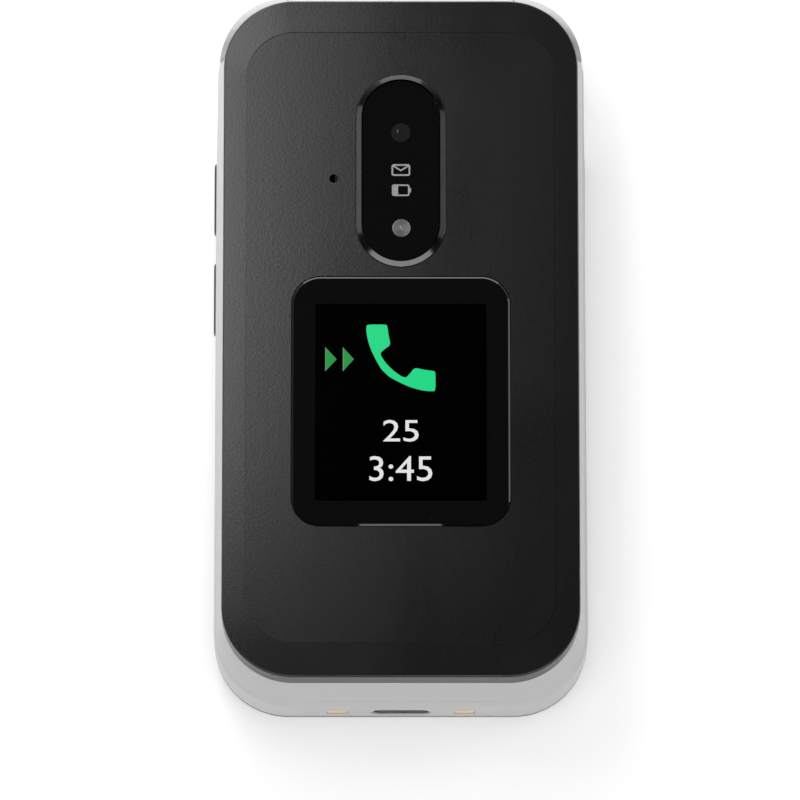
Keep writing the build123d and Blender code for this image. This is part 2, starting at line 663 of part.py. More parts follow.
with BuildPart() as front_case:
    with BuildSketch(Plane.XY.offset(seam)):
        outline()
    extrude(amount=parting - seam)
    chamfer(front_case.faces().sort_by(Axis.Z)[-1].edges(), case_edge)
    # the far side of the neck
    with BuildSketch(Plane.YZ.offset(-width)):
        with BuildLine():
            Polyline(
                (hinge_y, hinge_z), (neck_y, neck_z), (neck_y, 0), (length, 0),
                (length, thickness), (hinge_y, hinge_z),
            )
        make_face()
    extrude(amount=2 * width, mode=Mode.SUBTRACT)
    # the knuckles, rounded in plan with the outline, and room for the barrel between them
    add(knuckles.part)
    barrel_room = barrel_half + knuckle_gap
    hinge_rod(knuckle_clear_r, -barrel_room, barrel_room, Mode.SUBTRACT)
    # inside
    with BuildSketch(Plane.XY.offset(seam)):
        outline(case_wall)
        keep_between(free_end, pocket_end_y)
    extrude(amount=keypad_underside - seam, mode=Mode.SUBTRACT)
    rod(boss_r, plate_high, keypad_underside, case_screw_places)
    rod(
        screw_r + screw_play, plate_high, screw_reach + screw_hole_more,
        case_screw_places, Mode.SUBTRACT,
    )
    # sunk keypad field with the keys' openings
    rounded_slab(
        0, (field_high_y + field_low_y) / 2, field_w, field_high_y - field_low_y, field_corner,
        keypad_face, parting, Mode.SUBTRACT,
    )
    with BuildSketch(Plane.XY.offset(keypad_underside)):
        for x, y, w, h, r in plain_keys.values():
            rounded(w + 2 * key_gap, h + 2 * key_gap, r + key_gap, x, y)
        rounded(nav_w + 2 * key_gap, nav_h + 2 * key_gap, nav_corner + key_gap, y=nav_y)
    extrude(amount=keypad_wall, mode=Mode.SUBTRACT)
    # openings for the side keys, the charging socket, the contacts and the microphone
    with BuildSketch(Plane.YZ.offset(-width / 2 - past)):
        for name, y in volume_keys:
            stadium(side_key_h + 2 * key_gap, side_key_w + 2 * key_gap, y, side_key_z)
    extrude(amount=case_wall + 2 * past, mode=Mode.SUBTRACT)
    usb_slot(free_end - past, usb_depth, -fit)
    with BuildSketch(Plane.XZ.offset(-free_end + past)):
        for side in (1, -1):
            rounded(
                contact_w + 2 * fit, contact_h + 2 * fit, contact_corner + fit,
                side * contact_x, usb_z,
            )
    extrude(amount=-case_wall - 2 * past, mode=Mode.SUBTRACT)
    rod(mic_hole_r, keypad_underside, parting, [(0, base_mic_y)], Mode.SUBTRACT)
    # seats of the hinge's shaft and pin
    hinge_rod(shaft_r + push, barrel_half, seat_high_x, Mode.SUBTRACT)
    hinge_rod(pin_r + push, -seat_high_x, -barrel_half, Mode.SUBTRACT)
save(front_case, "front_case")


# ================================================================ base: back
def back_shell(builder, height):
    """Outer form of the back, with its rounded edge."""
    with BuildSketch() as foot:
        outline()
    extrude(foot.sketch, amount=height)
    fillet(builder.faces().sort_by(Axis.Z)[0].edges(), back_round)


def inner_pocket(low_y, high_y):
    """Hollow of the back between two stations."""
    with BuildSketch(Plane.XY.offset(back_wall)) as hollow:
        outline(pocket_inset)
        keep_between(low_y, high_y)
    extrude(hollow.sketch, amount=lip_height, mode=Mode.SUBTRACT)


def tab_sides(play=0.0):
    """Low and high x of the battery cover's two tabs."""
    low, high = width / 2 - tab_low_set - play, width / 2 - tab_high_set + play
    return ((low, high), (-high, -low))


with BuildPart() as battery_cover:
    back_shell(battery_cover, seam)
    block(-width, width, cover_end_y, length, 0, thickness, Mode.SUBTRACT)
    inner_pocket(free_end, cover_end_y + fit)
    # tabs that hook under the hinge end
    for low_x, high_x in tab_sides():
        block(
            low_x, high_x, cover_end_y - tab_root, back_low_y + tab_reach,
            back_wall, back_wall + tab_height,
        )
    # loudspeaker's grille, and the notch where a nail lifts the cover
    with BuildSketch():
        with Locations((speaker_x, speaker_y)):
            with GridLocations(grille_pitch, 0, grille_slots, 1):
                RectangleRounded(grille_w, grille_h, (grille_w - sliver) / 2)
    extrude(amount=back_wall, mode=Mode.SUBTRACT)
    slab(
        width / 2, speaker_y, 2 * nail_notch_depth, nail_notch_w,
        seam - nail_notch_height, seam, Mode.SUBTRACT,
    )
save(battery_cover, "battery_cover")

with BuildPart() as rear_case:
    back_shell(rear_case, lip_height)
    block(-width, width, -length, back_low_y, 0, thickness, Mode.SUBTRACT)
    block(-width, width, -length, neck_y + fit, seam, thickness, Mode.SUBTRACT)
    hinge_rod(swing_r, -width, width, Mode.SUBTRACT)
    inner_pocket(back_low_y + end_wall, pocket_end_y)
    # chassis: end wall, plate over the battery, battery bay and the loudspeaker's seat
    wall_x = width / 2 - plate_inset
    block(-wall_x, wall_x, back_low_y, back_low_y + end_wall, back_wall, plate_low)
    with BuildSketch(Plane.XY.offset(plate_low)):
        outline(plate_inset)
        keep_between(plate_low_y, plate_high_y)
        with Locations(*case_screw_places):
            Circle(screw_r + screw_play, mode=Mode.SUBTRACT)
        with Locations((0, assist_y)):
            Circle(assist_stem_r + assist_play, mode=Mode.SUBTRACT)
    extrude(amount=plate_height)
    block(
        -width, -width / 2 + side_notch_set, volume_down_y - side_notch_low,
        volume_up_y + side_notch_high, plate_low, plate_high, Mode.SUBTRACT,
    )
    with BuildSketch(Plane.XY.offset(battery_low)):
        rounded(
            bay_w + 2 * bay_wall, bay_h + 2 * bay_wall, battery_corner + bay_wall, y=battery_y
        )
        rounded(bay_w, bay_h, battery_corner, y=battery_y, mode=Mode.SUBTRACT)
    extrude(amount=plate_low - battery_low)
    slab(
        battery_contact_x, bay_low_y - bay_wall / 2, battery_contact_w + 2 * fit, bay_wall,
        0, plate_low, Mode.SUBTRACT,
    )
    slab(
        speaker_x, speaker_y, speaker_w - 2 * speaker_seat_inset,
        speaker_h - 2 * speaker_seat_inset, speaker_high, plate_low,
    )
    # opening of the assistance key and slots for the cover's tabs
    rounded_slab(
        0, assist_y, assist_w + 2 * key_gap, assist_h + 2 * key_gap, assist_corner + key_gap,
        0, back_wall, Mode.SUBTRACT,
    )
    for low_x, high_x in tab_sides(fit):
        block(
            low_x, high_x, back_low_y, back_low_y + end_wall,
            back_wall, back_wall + tab_height + fit, Mode.SUBTRACT,
        )
save(rear_case, "rear_case")

# ================================================================ base: what the case holds
with BuildPart() as battery:
    rounded_slab(0, battery_y, battery_w, battery_h, battery_corner, battery_low, battery_high)
save(battery, "battery")

with BuildPart() as main_board:
    with BuildSketch(Plane.XY.offset(board_low)):
        rounded(
            board_w, board_high_y - board_low_y, corner - plate_inset,
            y=(board_high_y + board_low_y) / 2,
        )
        with Locations(*case_screw_places):
            Circle(boss_r + boss_notch, mode=Mode.SUBTRACT)
    extrude(amount=board_height)
    for name, y in volume_keys:
        slab(
            switch_x + switch_depth / 2, y, switch_depth, switch_h,
            board_high - switch_sunk, board_high + switch_height,
        )
    rod(assist_switch_r, assist_switch_low, board_low, [(0, assist_y)])
    block(
        -shield_w / 2, shield_w / 2, field_high_y + shield_low_gap, board_high_y - shield_high_gap,
        board_high, board_high + shield_height,
    )
save(main_board, "main_board")

with BuildPart() as key_domes:
    rounded_slab(
        0, (mat_high_y + mat_low_y) / 2, mat_w, mat_high_y - mat_low_y, field_corner,
        board_high, mat_low,
    )
    with BuildSketch(Plane.XY.offset(mat_low)):
        with Locations(*all_nubs):
            RegularPolygon(dome_r, dome_sides)
    extrude(amount=dome_height)
save(key_domes, "key_domes")

with BuildPart() as keypad_mat:
    with BuildSketch(Plane.XY.offset(mat_low)):
        rounded(mat_w, mat_high_y - mat_low_y, field_corner, y=(mat_high_y + mat_low_y) / 2)
        with Locations(*all_nubs):
            RegularPolygon(mat_hole_r, dome_sides, mode=Mode.SUBTRACT)
    extrude(amount=mat_high - mat_low)
save(keypad_mat, "keypad_mat")

with BuildPart() as loudspeaker:
    rounded_slab(
        speaker_x, speaker_y, speaker_w, speaker_h, speaker_corner, speaker_low, speaker_high
    )
save(loudspeaker, "loudspeaker")

with BuildPart() as vibration_motor:
    rod(motor_r, plate_low - motor_height, plate_low, [(motor_x, motor_y)])
save(vibration_motor, "vibration_motor")

with BuildPart() as sim_reader:
    slab(sim_x, sim_y, sim_w, sim_h, plate_low - sim_height, plate_low)
save(sim_reader, "sim_reader")

with BuildPart() as battery_contacts:
    slab(
        battery_contact_x, bay_low_y - battery_contact_d / 2, battery_contact_w, battery_contact_d,
        battery_contact_low, plate_low,
    )
    finger_low = battery_contact_low + finger_lift
    for step in (-1, 0, 1):
        slab(
            battery_contact_x + step * finger_pitch, bay_low_y + finger_reach / 2,
            finger_w, finger_reach, finger_low, finger_low + finger_height,
        )
save(battery_contacts, "battery_contacts")

with BuildPart() as usb_socket:
    usb_slot(usb_low_y, usb_depth, mode=Mode.ADD)
    usb_slot(usb_low_y, usb_depth - usb_back, usb_skin)
    with BuildSketch(Plane.XZ.offset(-usb_low_y - usb_tongue_set)):
        with Locations((0, usb_z)):
            Rectangle(usb_tongue_w, usb_tongue_h)
    extrude(amount=usb_tongue_set - usb_depth)
save(usb_socket, "usb_socket")

with BuildPart() as charge_contacts:
    for side in (1, -1):
        with BuildSketch(Plane.XZ.offset(-free_end - contact_sunk)):
            rounded(contact_w, contact_h, contact_corner, side * contact_x, usb_z)
        extrude(amount=contact_sunk - case_wall)
        with BuildSketch(Plane.XZ.offset(-free_end - case_wall)):
            with Locations((side * contact_x, usb_z)):
                Rectangle(contact_w + contact_flange, contact_h + contact_flange)
        extrude(amount=-contact_depth)
save(charge_contacts, "charge_contacts")

with BuildPart() as antenna:
    block(
        -antenna_w / 2, antenna_w / 2, antenna_low_y, antenna_high_y,
        plate_low - antenna_height, plate_low,
    )
    rod(
        assist_stem_r + assist_play, plate_low - antenna_height, plate_low, [(0, assist_y)],
        Mode.SUBTRACT,
    )
save(antenna, "antenna")

with BuildPart() as base_microphone:
    slab(
        0, base_mic_y, base_mic_size, base_mic_size, board_high, board_high + base_mic_height
    )
save(base_microphone, "base_microphone")

with BuildPart() as case_screws:
    rod(screw_head_r, plate_low - screw_head, plate_low, case_screw_places)
    rod(screw_r, plate_low, screw_reach, case_screw_places)
save(case_screws, "case_screws")

with BuildPart() as hinge_shaft:
    hinge_rod(shaft_r, cartridge_low_x + cartridge_floor + fit, seat_high_x)
save(hinge_shaft, "hinge_shaft")

with BuildPart() as hinge_pin:
    hinge_rod(pin_r, -seat_high_x, pin_reach - barrel_half)
    hinge_rod(pin_bore, -seat_high_x, pin_reach - barrel_half, Mode.SUBTRACT)
save(hinge_pin, "hinge_pin")
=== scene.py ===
import json
from math import copysign, cos, hypot, pi, radians, sin, sqrt, tau

import bmesh
import bpy
from mathutils import Matrix, Vector


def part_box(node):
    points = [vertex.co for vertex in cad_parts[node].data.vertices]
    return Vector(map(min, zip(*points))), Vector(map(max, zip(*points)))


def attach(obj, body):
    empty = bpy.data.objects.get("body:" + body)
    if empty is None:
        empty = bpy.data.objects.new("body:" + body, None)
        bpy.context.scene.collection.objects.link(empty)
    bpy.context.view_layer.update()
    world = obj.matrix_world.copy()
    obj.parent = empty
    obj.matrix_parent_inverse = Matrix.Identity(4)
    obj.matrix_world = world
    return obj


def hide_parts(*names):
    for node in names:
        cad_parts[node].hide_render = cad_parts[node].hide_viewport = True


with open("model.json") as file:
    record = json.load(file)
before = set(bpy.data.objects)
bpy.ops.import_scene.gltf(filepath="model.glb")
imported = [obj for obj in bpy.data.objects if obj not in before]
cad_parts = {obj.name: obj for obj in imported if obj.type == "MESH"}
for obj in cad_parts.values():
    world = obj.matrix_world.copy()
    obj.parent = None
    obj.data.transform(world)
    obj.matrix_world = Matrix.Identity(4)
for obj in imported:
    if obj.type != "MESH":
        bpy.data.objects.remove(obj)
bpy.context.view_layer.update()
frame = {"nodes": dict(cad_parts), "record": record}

MM = 0.001


# ======== places in the frame, in millimetres
def box_mm(node_name):
    """Lowest and highest corner of a node, in millimetres."""
    low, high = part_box(node_name)
    return low / MM, high / MM


def middle_mm(node_name):
    """Middle of a node in plan, in millimetres."""
    low, high = box_mm(node_name)
    return (low.x + high.x) / 2, (low.y + high.y) / 2


cover_top = box_mm("lid_cover")[1].z
window_top = box_mm("outer_window")[1].z
inner_glass_face = box_mm("inner_window")[0].z
ring_low, ring_high = box_mm("camera_ring")
bar_low, bar_high = box_mm("camera_window")
bar_y = middle_mm("camera_ring")[1]
body_of_node = {
    node: body for body, nodes in frame["record"]["behaviour"]["bodies"].items() for node in nodes
}
slot_of_node = {part["node"]: part["material_slot"] for part in frame["record"]["subparts"]}


# ======== shader groups
def new_group(name, kind, inputs, outputs, output_type="Float"):
    """Empty node group with its two end nodes. An input gives a number's default or a socket's type."""
    group = bpy.data.node_groups.new(name, kind + "NodeTree")
    for label, value in inputs.items():
        socket_type = "NodeSocket" + (value if isinstance(value, str) else "Float")
        socket = group.interface.new_socket(label, in_out="INPUT", socket_type=socket_type)
        if not isinstance(value, str):
            socket.default_value = value
    for label in outputs:
        group.interface.new_socket(label, in_out="OUTPUT", socket_type="NodeSocket" + output_type)
    return group, group.nodes.new("NodeGroupInput"), group.nodes.new("NodeGroupOutput")


def node(tree, kind, links=None, **values):
    """Adds a node, sets its values and links its inputs."""
    made = tree.nodes.new(kind)
    for key, value in values.items():
        setattr(made, key, value)
    for key, value in (links or {}).items():
        if hasattr(value, "is_output"):
            tree.links.new(value, made.inputs[key])
        else:
            made.inputs[key].default_value = value
    return made


def math_node(tree, operation, a, b=None, clamp=False):
    """Math node's result."""
    links = {0: a} if b is None else {0: a, 1: b}
    return node(tree, "ShaderNodeMath", links, operation=operation, use_clamp=clamp).outputs[0]


def times(tree, a, b, clamp=False):
    """Product of two values."""
    return math_node(tree, "MULTIPLY", a, b, clamp)


def plus(tree, a, b, clamp=False):
    """Sum of two values."""
    return math_node(tree, "ADD", a, b, clamp)


def mix_colour(tree, factor, a, b, blend="MIX"):
    """Mixed colour of two colours or sockets."""
    links = {0: factor, 6: a, 7: b}
    return node(tree, "ShaderNodeMix", links, data_type="RGBA", blend_type=blend).outputs[2]


def spread(tree, value, low, high, from_low=0.0, from_high=1.0):
    """Value carried to another range."""
    links = {
        "Value": value, "From Min": from_low, "From Max": from_high, "To Min": low, "To Max": high,
    }
    return node(tree, "ShaderNodeMapRange", links).outputs[0]


def object_place(tree):
    """Place on the piece."""
    return node(tree, "ShaderNodeTexCoord").outputs["Object"]


def noise(tree, place, scale, detail, roughness=0.5, distortion=0.0):
    """Soft random pattern, from 0 to 1."""
    links = {
        "Vector": place, "Scale": scale, "Detail": detail, "Roughness": roughness, "Distortion": distortion,
    }
    return node(tree, "ShaderNodeTexNoise", links).outputs["Fac"]


def grain_group():
    """Fine moulded grain: a colour factor, a height for the bump and a roughness factor."""
    tree, into, out = new_group(
        "moulded_grain", "Shader", {"Size": 1400.0, "Patch Size": 420.0, "Patch Amount": 0.12},
        ["Colour", "Height", "Roughness"],
    )
    place = object_place(tree)
    fine = noise(tree, place, into.outputs["Size"], 3.0, 0.65)
    cells = node(tree, "ShaderNodeTexVoronoi", {"Vector": place, "Scale": into.outputs["Size"]})
    patch = noise(tree, place, into.outputs["Patch Size"], 4.0, 0.6)
    height = plus(tree, fine, times(tree, cells.outputs["Distance"], 0.5))
    tree.links.new(height, out.inputs["Height"])
    amount = into.outputs["Patch Amount"]
    cloud = spread(tree, patch, times(tree, amount, -1.0), amount, 0.25, 0.75)
    speckle = spread(tree, fine, 0.2, 1.8)
    tree.links.new(plus(tree, speckle, cloud), out.inputs["Colour"])
    tree.links.new(plus(tree, 1.0, cloud), out.inputs["Roughness"])
    return tree


def wear_group():
    """Rubbed edges: 1 on the sharp edges of a piece, broken up, and 0 elsewhere."""
    tree, into, out = new_group("rubbed_edges", "Shader", {"Width": 0.0003, "Amount": 0.5}, ["Mask"])
    bevel = node(tree, "ShaderNodeBevel", {"Radius": into.outputs["Width"]}, samples=4)
    flat = node(tree, "ShaderNodeNewGeometry").outputs["Normal"]
    same = node(tree, "ShaderNodeVectorMath", {0: bevel.outputs[0], 1: flat}, operation="DOT_PRODUCT")
    edge = math_node(tree, "SUBTRACT", 1.0, same.outputs["Value"])
    broken = spread(tree, noise(tree, object_place(tree), 400.0, 4.0), 0.0, 1.0, 0.4, 0.65)
    worn = times(tree, times(tree, edge, 6.0, clamp=True), broken)
    tree.links.new(times(tree, worn, into.outputs["Amount"], clamp=True), out.inputs["Mask"])
    return tree


def handling_group():
    """Traces of handling: soft smears and sparse specks of dust."""
    tree, into, out = new_group(
        "handling_traces", "Shader", {"Smear Size": 45.0, "Speck Size": 700.0}, ["Smear", "Dust"]
    )
    place = object_place(tree)
    stretched = node(tree, "ShaderNodeMapping", {"Vector": place, "Scale": (1.0, 0.45, 1.0)}).outputs[0]
    smear = noise(tree, stretched, into.outputs["Smear Size"], 1.0, distortion=0.4)
    tree.links.new(spread(tree, smear, 0.0, 1.0, 0.45, 0.75), out.inputs["Smear"])
    specks = node(tree, "ShaderNodeTexVoronoi", {"Vector": place, "Scale": into.outputs["Speck Size"]})
    near = spread(tree, specks.outputs["Distance"], 0.0, 1.0, 0.14, 0.06)
    chosen = node(tree, "ShaderNodeSeparateColor", {0: specks.outputs["Color"]}).outputs[0]
    some = math_node(tree, "GREATER_THAN", chosen, 0.92)
    tree.links.new(times(tree, near, some), out.inputs["Dust"])
    return tree


def pixel_group():
    """Picture dots of a display: darker lines between fine rows and columns."""
    tree, into, out = new_group("picture_dots", "Shader", {"Pitch": 0.00012, "Depth": 0.12}, ["Level"])
    parts = node(tree, "ShaderNodeSeparateXYZ", {0: object_place(tree)})
    turns = math_node(tree, "DIVIDE", tau, into.outputs["Pitch"])
    waves = [math_node(tree, "COSINE", times(tree, parts.outputs[axis], turns)) for axis in (0, 1)]
    both = plus(tree, *waves)
    dip = times(tree, spread(tree, both, 1.0, 0.0, -2.0, 2.0), into.outputs["Depth"])
    tree.links.new(math_node(tree, "SUBTRACT", 1.0, dip), out.inputs["Level"])
    return tree


grain = grain_group()
wear = wear_group()
handling = handling_group()
pixels = pixel_group()


def use_group(tree, group, **values):
    """Places a shared group with its own values."""
    made = tree.nodes.new("ShaderNodeGroup")
    made.node_tree = group
    for key, value in values.items():
        made.inputs[key.replace("_", " ")].default_value = value
    return made


# ======== materials
materials = {}


def shader(name, **values):
    """New material's tree and Principled shader, with the plain values it is given."""
    material = materials[name] = bpy.data.materials.new(name)
    material.use_nodes = True
    surface = material.node_tree.nodes["Principled BSDF"]
    for key, value in values.items():
        surface.inputs[key.replace("_", " ")].default_value = value
    return material.node_tree, surface


def grey(level):
    """Plain grey."""
    return (level, level, level)


BUMP_DISTANCE = 0.00005  # depth of grain and pits, in metres
DUST_GREY, GLASS_DUST_GREY = (*grey(0.3), 1), (*grey(0.2), 1)
GLASS_DUST = 0.02  # how strongly the specks show on glass
SMEAR_POLISH = -0.05  # change that a smear makes to a plastic's roughness


def raised(tree, surface, height, strength):
    """Bump from a height."""
    relief = node(tree, "ShaderNodeBump", {"Height": height, "Strength": strength, "Distance": BUMP_DISTANCE})
    tree.links.new(relief.outputs[0], surface.inputs["Normal"])


def plastic(name, colour, roughness, bump=0.05, size=1400.0, fleck=0.3, worn=None, worn_amount=0.4,
            dust=0.0, specular=0.5, cloud=0.12):
    """Moulded plastic with fine grain, soft clouding, lighter rubbed edges and a little dust."""
    tree, surface = shader(name, IOR=1.5, Specular_IOR_Level=specular)
    fine = use_group(tree, grain, Size=size, Patch_Size=size / 3, Patch_Amount=cloud)
    traces = use_group(tree, handling)
    tint = plus(tree, 1.0 - fleck, times(tree, fine.outputs["Colour"], fleck))
    body = mix_colour(tree, 1.0, (*colour, 1), tint, "MULTIPLY")
    edges = use_group(tree, wear, Amount=worn_amount)
    body = mix_colour(tree, edges.outputs["Mask"], body, (*(worn or colour), 1))
    lint = times(tree, traces.outputs["Dust"], dust)
    tree.links.new(mix_colour(tree, lint, body, DUST_GREY), surface.inputs["Base Color"])
    rough = times(tree, fine.outputs["Roughness"], roughness)
    smeared = times(tree, traces.outputs["Smear"], SMEAR_POLISH)
    tree.links.new(plus(tree, rough, smeared, clamp=True), surface.inputs["Roughness"])
    raised(tree, surface, fine.outputs["Height"], bump)


def metal(name, colour, roughness, bump=0.05, worn=0.2):
    """Metal with fine pits and slightly uneven polish."""
    tree, surface = shader(name, Metallic=1.0)
    pits = noise(tree, object_place(tree), 900.0, 5.0)
    edges = use_group(tree, wear, Amount=worn)
    body = mix_colour(tree, 1.0, (*colour, 1), spread(tree, pits, 0.85, 1.12), "MULTIPLY")
    bright = tuple(min(1.0, c * 2.2) for c in colour)
    body = mix_colour(tree, edges.outputs["Mask"], body, (*bright, 1))
    tree.links.new(body, surface.inputs["Base Color"])
    tree.links.new(spread(tree, pits, roughness * 0.7, roughness * 1.4), surface.inputs["Roughness"])
    raised(tree, surface, pits, bump)


def lit(name, colour):
    """Part of a lit picture: a glow in its own colour, in fine dots."""
    tree, surface = shader(name, Base_Color=(*grey(0.0), 1), Roughness=0.3, Emission_Strength=1.0)
    dots = use_group(tree, pixels)
    glow = mix_colour(tree, 1.0, (*colour, 1), dots.outputs["Level"], "MULTIPLY")
    tree.links.new(glow, surface.inputs["Emission Color"])


def glass(name, colour, roughness=0.02):
    """Hard glass with a trace of smear in its polish and a few specks of dust."""
    tree, surface = shader(name, IOR=1.5)
    traces = use_group(tree, handling, Smear_Size=30.0, Speck_Size=420.0)
    rough = spread(tree, traces.outputs["Smear"], roughness, roughness * 4)
    tree.links.new(rough, surface.inputs["Roughness"])
    lint = times(tree, traces.outputs["Dust"], GLASS_DUST)
    tree.links.new(mix_colour(tree, lint, (*colour, 1), GLASS_DUST_GREY), surface.inputs["Base Color"])


# Finishes of the record's slots.
plastic(
    "dark_cover", (0.0016, 0.0017, 0.0017), 0.30, bump=0.2, size=2400.0, fleck=0.6,
    worn=grey(0.012), worn_amount=0.3, dust=0.02, specular=0.8, cloud=0.03,
)
plastic(
    "white_shell", (0.80, 0.80, 0.795), 0.42, bump=0.1, size=3000.0, fleck=0.03, worn=(0.8, 0.8, 0.79)
)
metal("dark_metal", (0.11, 0.11, 0.113), 0.12, bump=0.02, worn=0.05)
plastic("camera_black", (0.012, 0.012, 0.013), 0.3, worn=grey(0.04))
metal("steel", (0.56, 0.56, 0.57), 0.28)
metal("gold", (0.83, 0.60, 0.25), 0.22)
plastic("circuit_board", (0.01, 0.10, 0.04), 0.35, worn=(0.05, 0.25, 0.1))
plastic("soft_rubber", (0.05, 0.05, 0.052), 0.8, bump=0.3, worn=grey(0.1))
plastic("battery_wrap", (0.04, 0.04, 0.045), 0.5, bump=0.2, worn=grey(0.1))
plastic("key_black", (0.012, 0.012, 0.013), 0.34, bump=0.15, size=2600.0, worn=grey(0.05))
plastic("side_key_grey", (0.055, 0.055, 0.057), 0.4, bump=0.15, size=2600.0, worn=grey(0.15))
plastic("lamp", (0.105, 0.105, 0.10), 0.25, bump=0.2, size=1800.0, worn=(0.5, 0.5, 0.47))
plastic("display", (0.0002, 0.0002, 0.0003), 0.12, bump=0.0, fleck=0.5, worn=grey(0.001), specular=0.06)
glass("window_glass", (0.0032, 0.0032, 0.0034))
glass("camera_glass", (0.0032, 0.0032, 0.0034))
# Finishes of marks and small pieces.
plastic("printed_sign", grey(0.33), 0.35, bump=0.1, fleck=0.15)
plastic("key_print", (0.72, 0.72, 0.71), 0.45, bump=0.1, fleck=0.08)
plastic("call_green", (0.02, 0.42, 0.10), 0.4, bump=0.1, fleck=0.1)
plastic("end_red", (0.55, 0.02, 0.015), 0.4, bump=0.1, fleck=0.1)
glass("lens_glass", (0.0145, 0.0145, 0.0150), 0.05)
glass("lens_dark", (0.0125, 0.0125, 0.0135), 0.03)
# The lamp's chip, drawn lighter than it is and shaped as a drop: a painted highlight on the lamp's lens.
plastic("lamp_chip", (0.24, 0.24, 0.22), 0.3, bump=0.3, size=2600.0)
lit("lit_green", (0.0065, 0.708, 0.235))
lit("lit_dim_green", (0.003, 0.292, 0.047))
lit("lit_pale_edge", (0.10, 0.34, 0.13))
lit("lit_white", grey(0.80))
lit("lit_sky", (0.03, 0.16, 0.42))
lit("lit_shade", (0.008, 0.05, 0.15))

for name, cad in frame["nodes"].items():
    cad.data.materials.clear()
    cad.data.materials.append(materials[slot_of_node[name]])


# ======== mesh helpers, in millimetres
def outline_points(w, h, r, steps):
    """Rounded rectangle round the middle, anticlockwise, with one count of points for any size."""
    points = []
    for cx, cy, start in ((1, 1, 0), (-1, 1, 90), (-1, -1, 180), (1, -1, 270)):
        for i in range(steps + 1):
            turn = radians(start + 90 * i / steps)
            points.append((cx * (w / 2 - r) + r * cos(turn), cy * (h / 2 - r) + r * sin(turn)))
    return points


def outline_at(x, y, w, h, r, steps):
    """Rounded rectangle round a place."""
    return [(x + px, y + py) for px, py in outline_points(w, h, r, steps)]


def skin(bm, loops, closed=False):
    """Skin over loops of points, with a cap at each end, or closed from the last loop to the first."""
    rings = [[bm.verts.new(point) for point in loop] for loop in loops]
    count = len(rings[0])
    for low, high in zip(rings, rings[1:] + (rings[:1] if closed else [])):
        for i in range(count):
            after = (i + 1) % count
            bm.faces.new((low[i], low[after], high[after], high[i]))
    if not closed:
        bm.faces.new(reversed(rings[0]))
        bm.faces.new(rings[-1])


def stack(bm, sections, y, steps, closed=False):
    """Skin over stacked rounded rectangles, each (width, height, corner, level). A closed stack is a ring."""
    skin(bm, [
        [(*point, z) for point in outline_at(0.0, y, w, h, r, steps)] for w, h, r, z in sections
    ], closed)


def turned_profile(bm, profile, x=0.0, y=0.0, steps=48):
    """Solid of revolution about an upright axis from (radius, level) points, capped at both ends."""
    skin(bm, [
        [(x + r * cos(tau * i / steps), y + r * sin(tau * i / steps), z) for i in range(steps)]
        for r, z in profile
    ])


def flat_shape(bm, points, low, high):
    """Thin plate with the given outline."""
    skin(bm, [[(x, y, z) for x, y in points] for z in (low, high)])


def block(bm, left, right, bottom, top, low, high):
    """Thin rectangular plate."""
    flat_shape(bm, [(left, bottom), (right, bottom), (right, top), (left, top)], low, high)


def stroke(bm, points, width, low, high, closed=False):
    """Thin band of one width along a line, with mitred corners."""
    last = len(points) - 1
    loops = []
    for i, (x, y) in enumerate(points):
        before = points[i - 1] if closed or i > 0 else None
        after = points[i + 1 if i < last else 0] if closed or i < last else None
        ways = []
        if before:
            ways.append(Vector((x - before[0], y - before[1])).normalized())
        if after:
            ways.append(Vector((after[0] - x, after[1] - y)).normalized())
        way = sum(ways, Vector((0, 0))).normalized()
        across = Vector((-way.y, way.x))
        reach = width / 2 / max(0.3, abs(across.dot(Vector((-ways[0].y, ways[0].x)))))
        left = (x + across.x * reach, y + across.y * reach)
        right = (x - across.x * reach, y - across.y * reach)
        loops.append([(*left, low), (*right, low), (*right, high), (*left, high)])
    skin(bm, loops, closed)


def arc_points(x, y, r, start, end, steps):
    """Points along an arc, in degrees."""
    return [
        (x + r * cos(radians(start + (end - start) * i / steps)),
         y + r * sin(radians(start + (end - start) * i / steps)))
        for i in range(steps + 1)
    ]


SAME_POINT = 0.0005  # drawn points closer than this, in millimetres, are one
SMOOTH_BELOW = 38.0  # edges that turn by less than this, in degrees, are shaded soft
PLATE_SMOOTH_BELOW = 20.0  # the same for thin plates and glasses
RING_SMOOTH_BELOW = 7.0  # the same for the camera ring, whose crest stays crisp


def shade_soft(mesh, below=SMOOTH_BELOW):
    """Soft shading across the edges that turn by less than an angle in degrees."""
    mesh.shade_smooth()
    mesh.set_sharp_from_angle(angle=radians(below))


def to_mesh(bm, name, smooth_below=SMOOTH_BELOW, face_down=False):
    """Finished mesh in metres, with outward faces and soft shading below an angle."""
    bmesh.ops.remove_doubles(bm, verts=bm.verts, dist=SAME_POINT)
    if face_down:
        bmesh.ops.transform(bm, matrix=Matrix.Rotation(pi, 4, "X"), verts=bm.verts)
    bmesh.ops.recalc_face_normals(bm, faces=bm.faces)
    bmesh.ops.scale(bm, vec=(MM, MM, MM), verts=bm.verts)
    mesh = bpy.data.meshes.new(name)
    bm.to_mesh(mesh)
    bm.free()
    shade_soft(mesh, smooth_below)
    return mesh


def new_object(name, mesh):
    """Object at the origin, linked to the scene."""
    made = bpy.data.objects.new(name, mesh)
    bpy.context.scene.collection.objects.link(made)
    return made


def add_piece(name, mesh, finish, body="lid", stands_for=()):
    """Finished piece on its body, with its finish, in place of the CAD nodes that it stands for."""
    mesh.materials.clear()
    mesh.materials.append(materials[finish])
    made = new_object(name, mesh)
    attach(made, body)
    if stands_for:
        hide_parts(*stands_for)


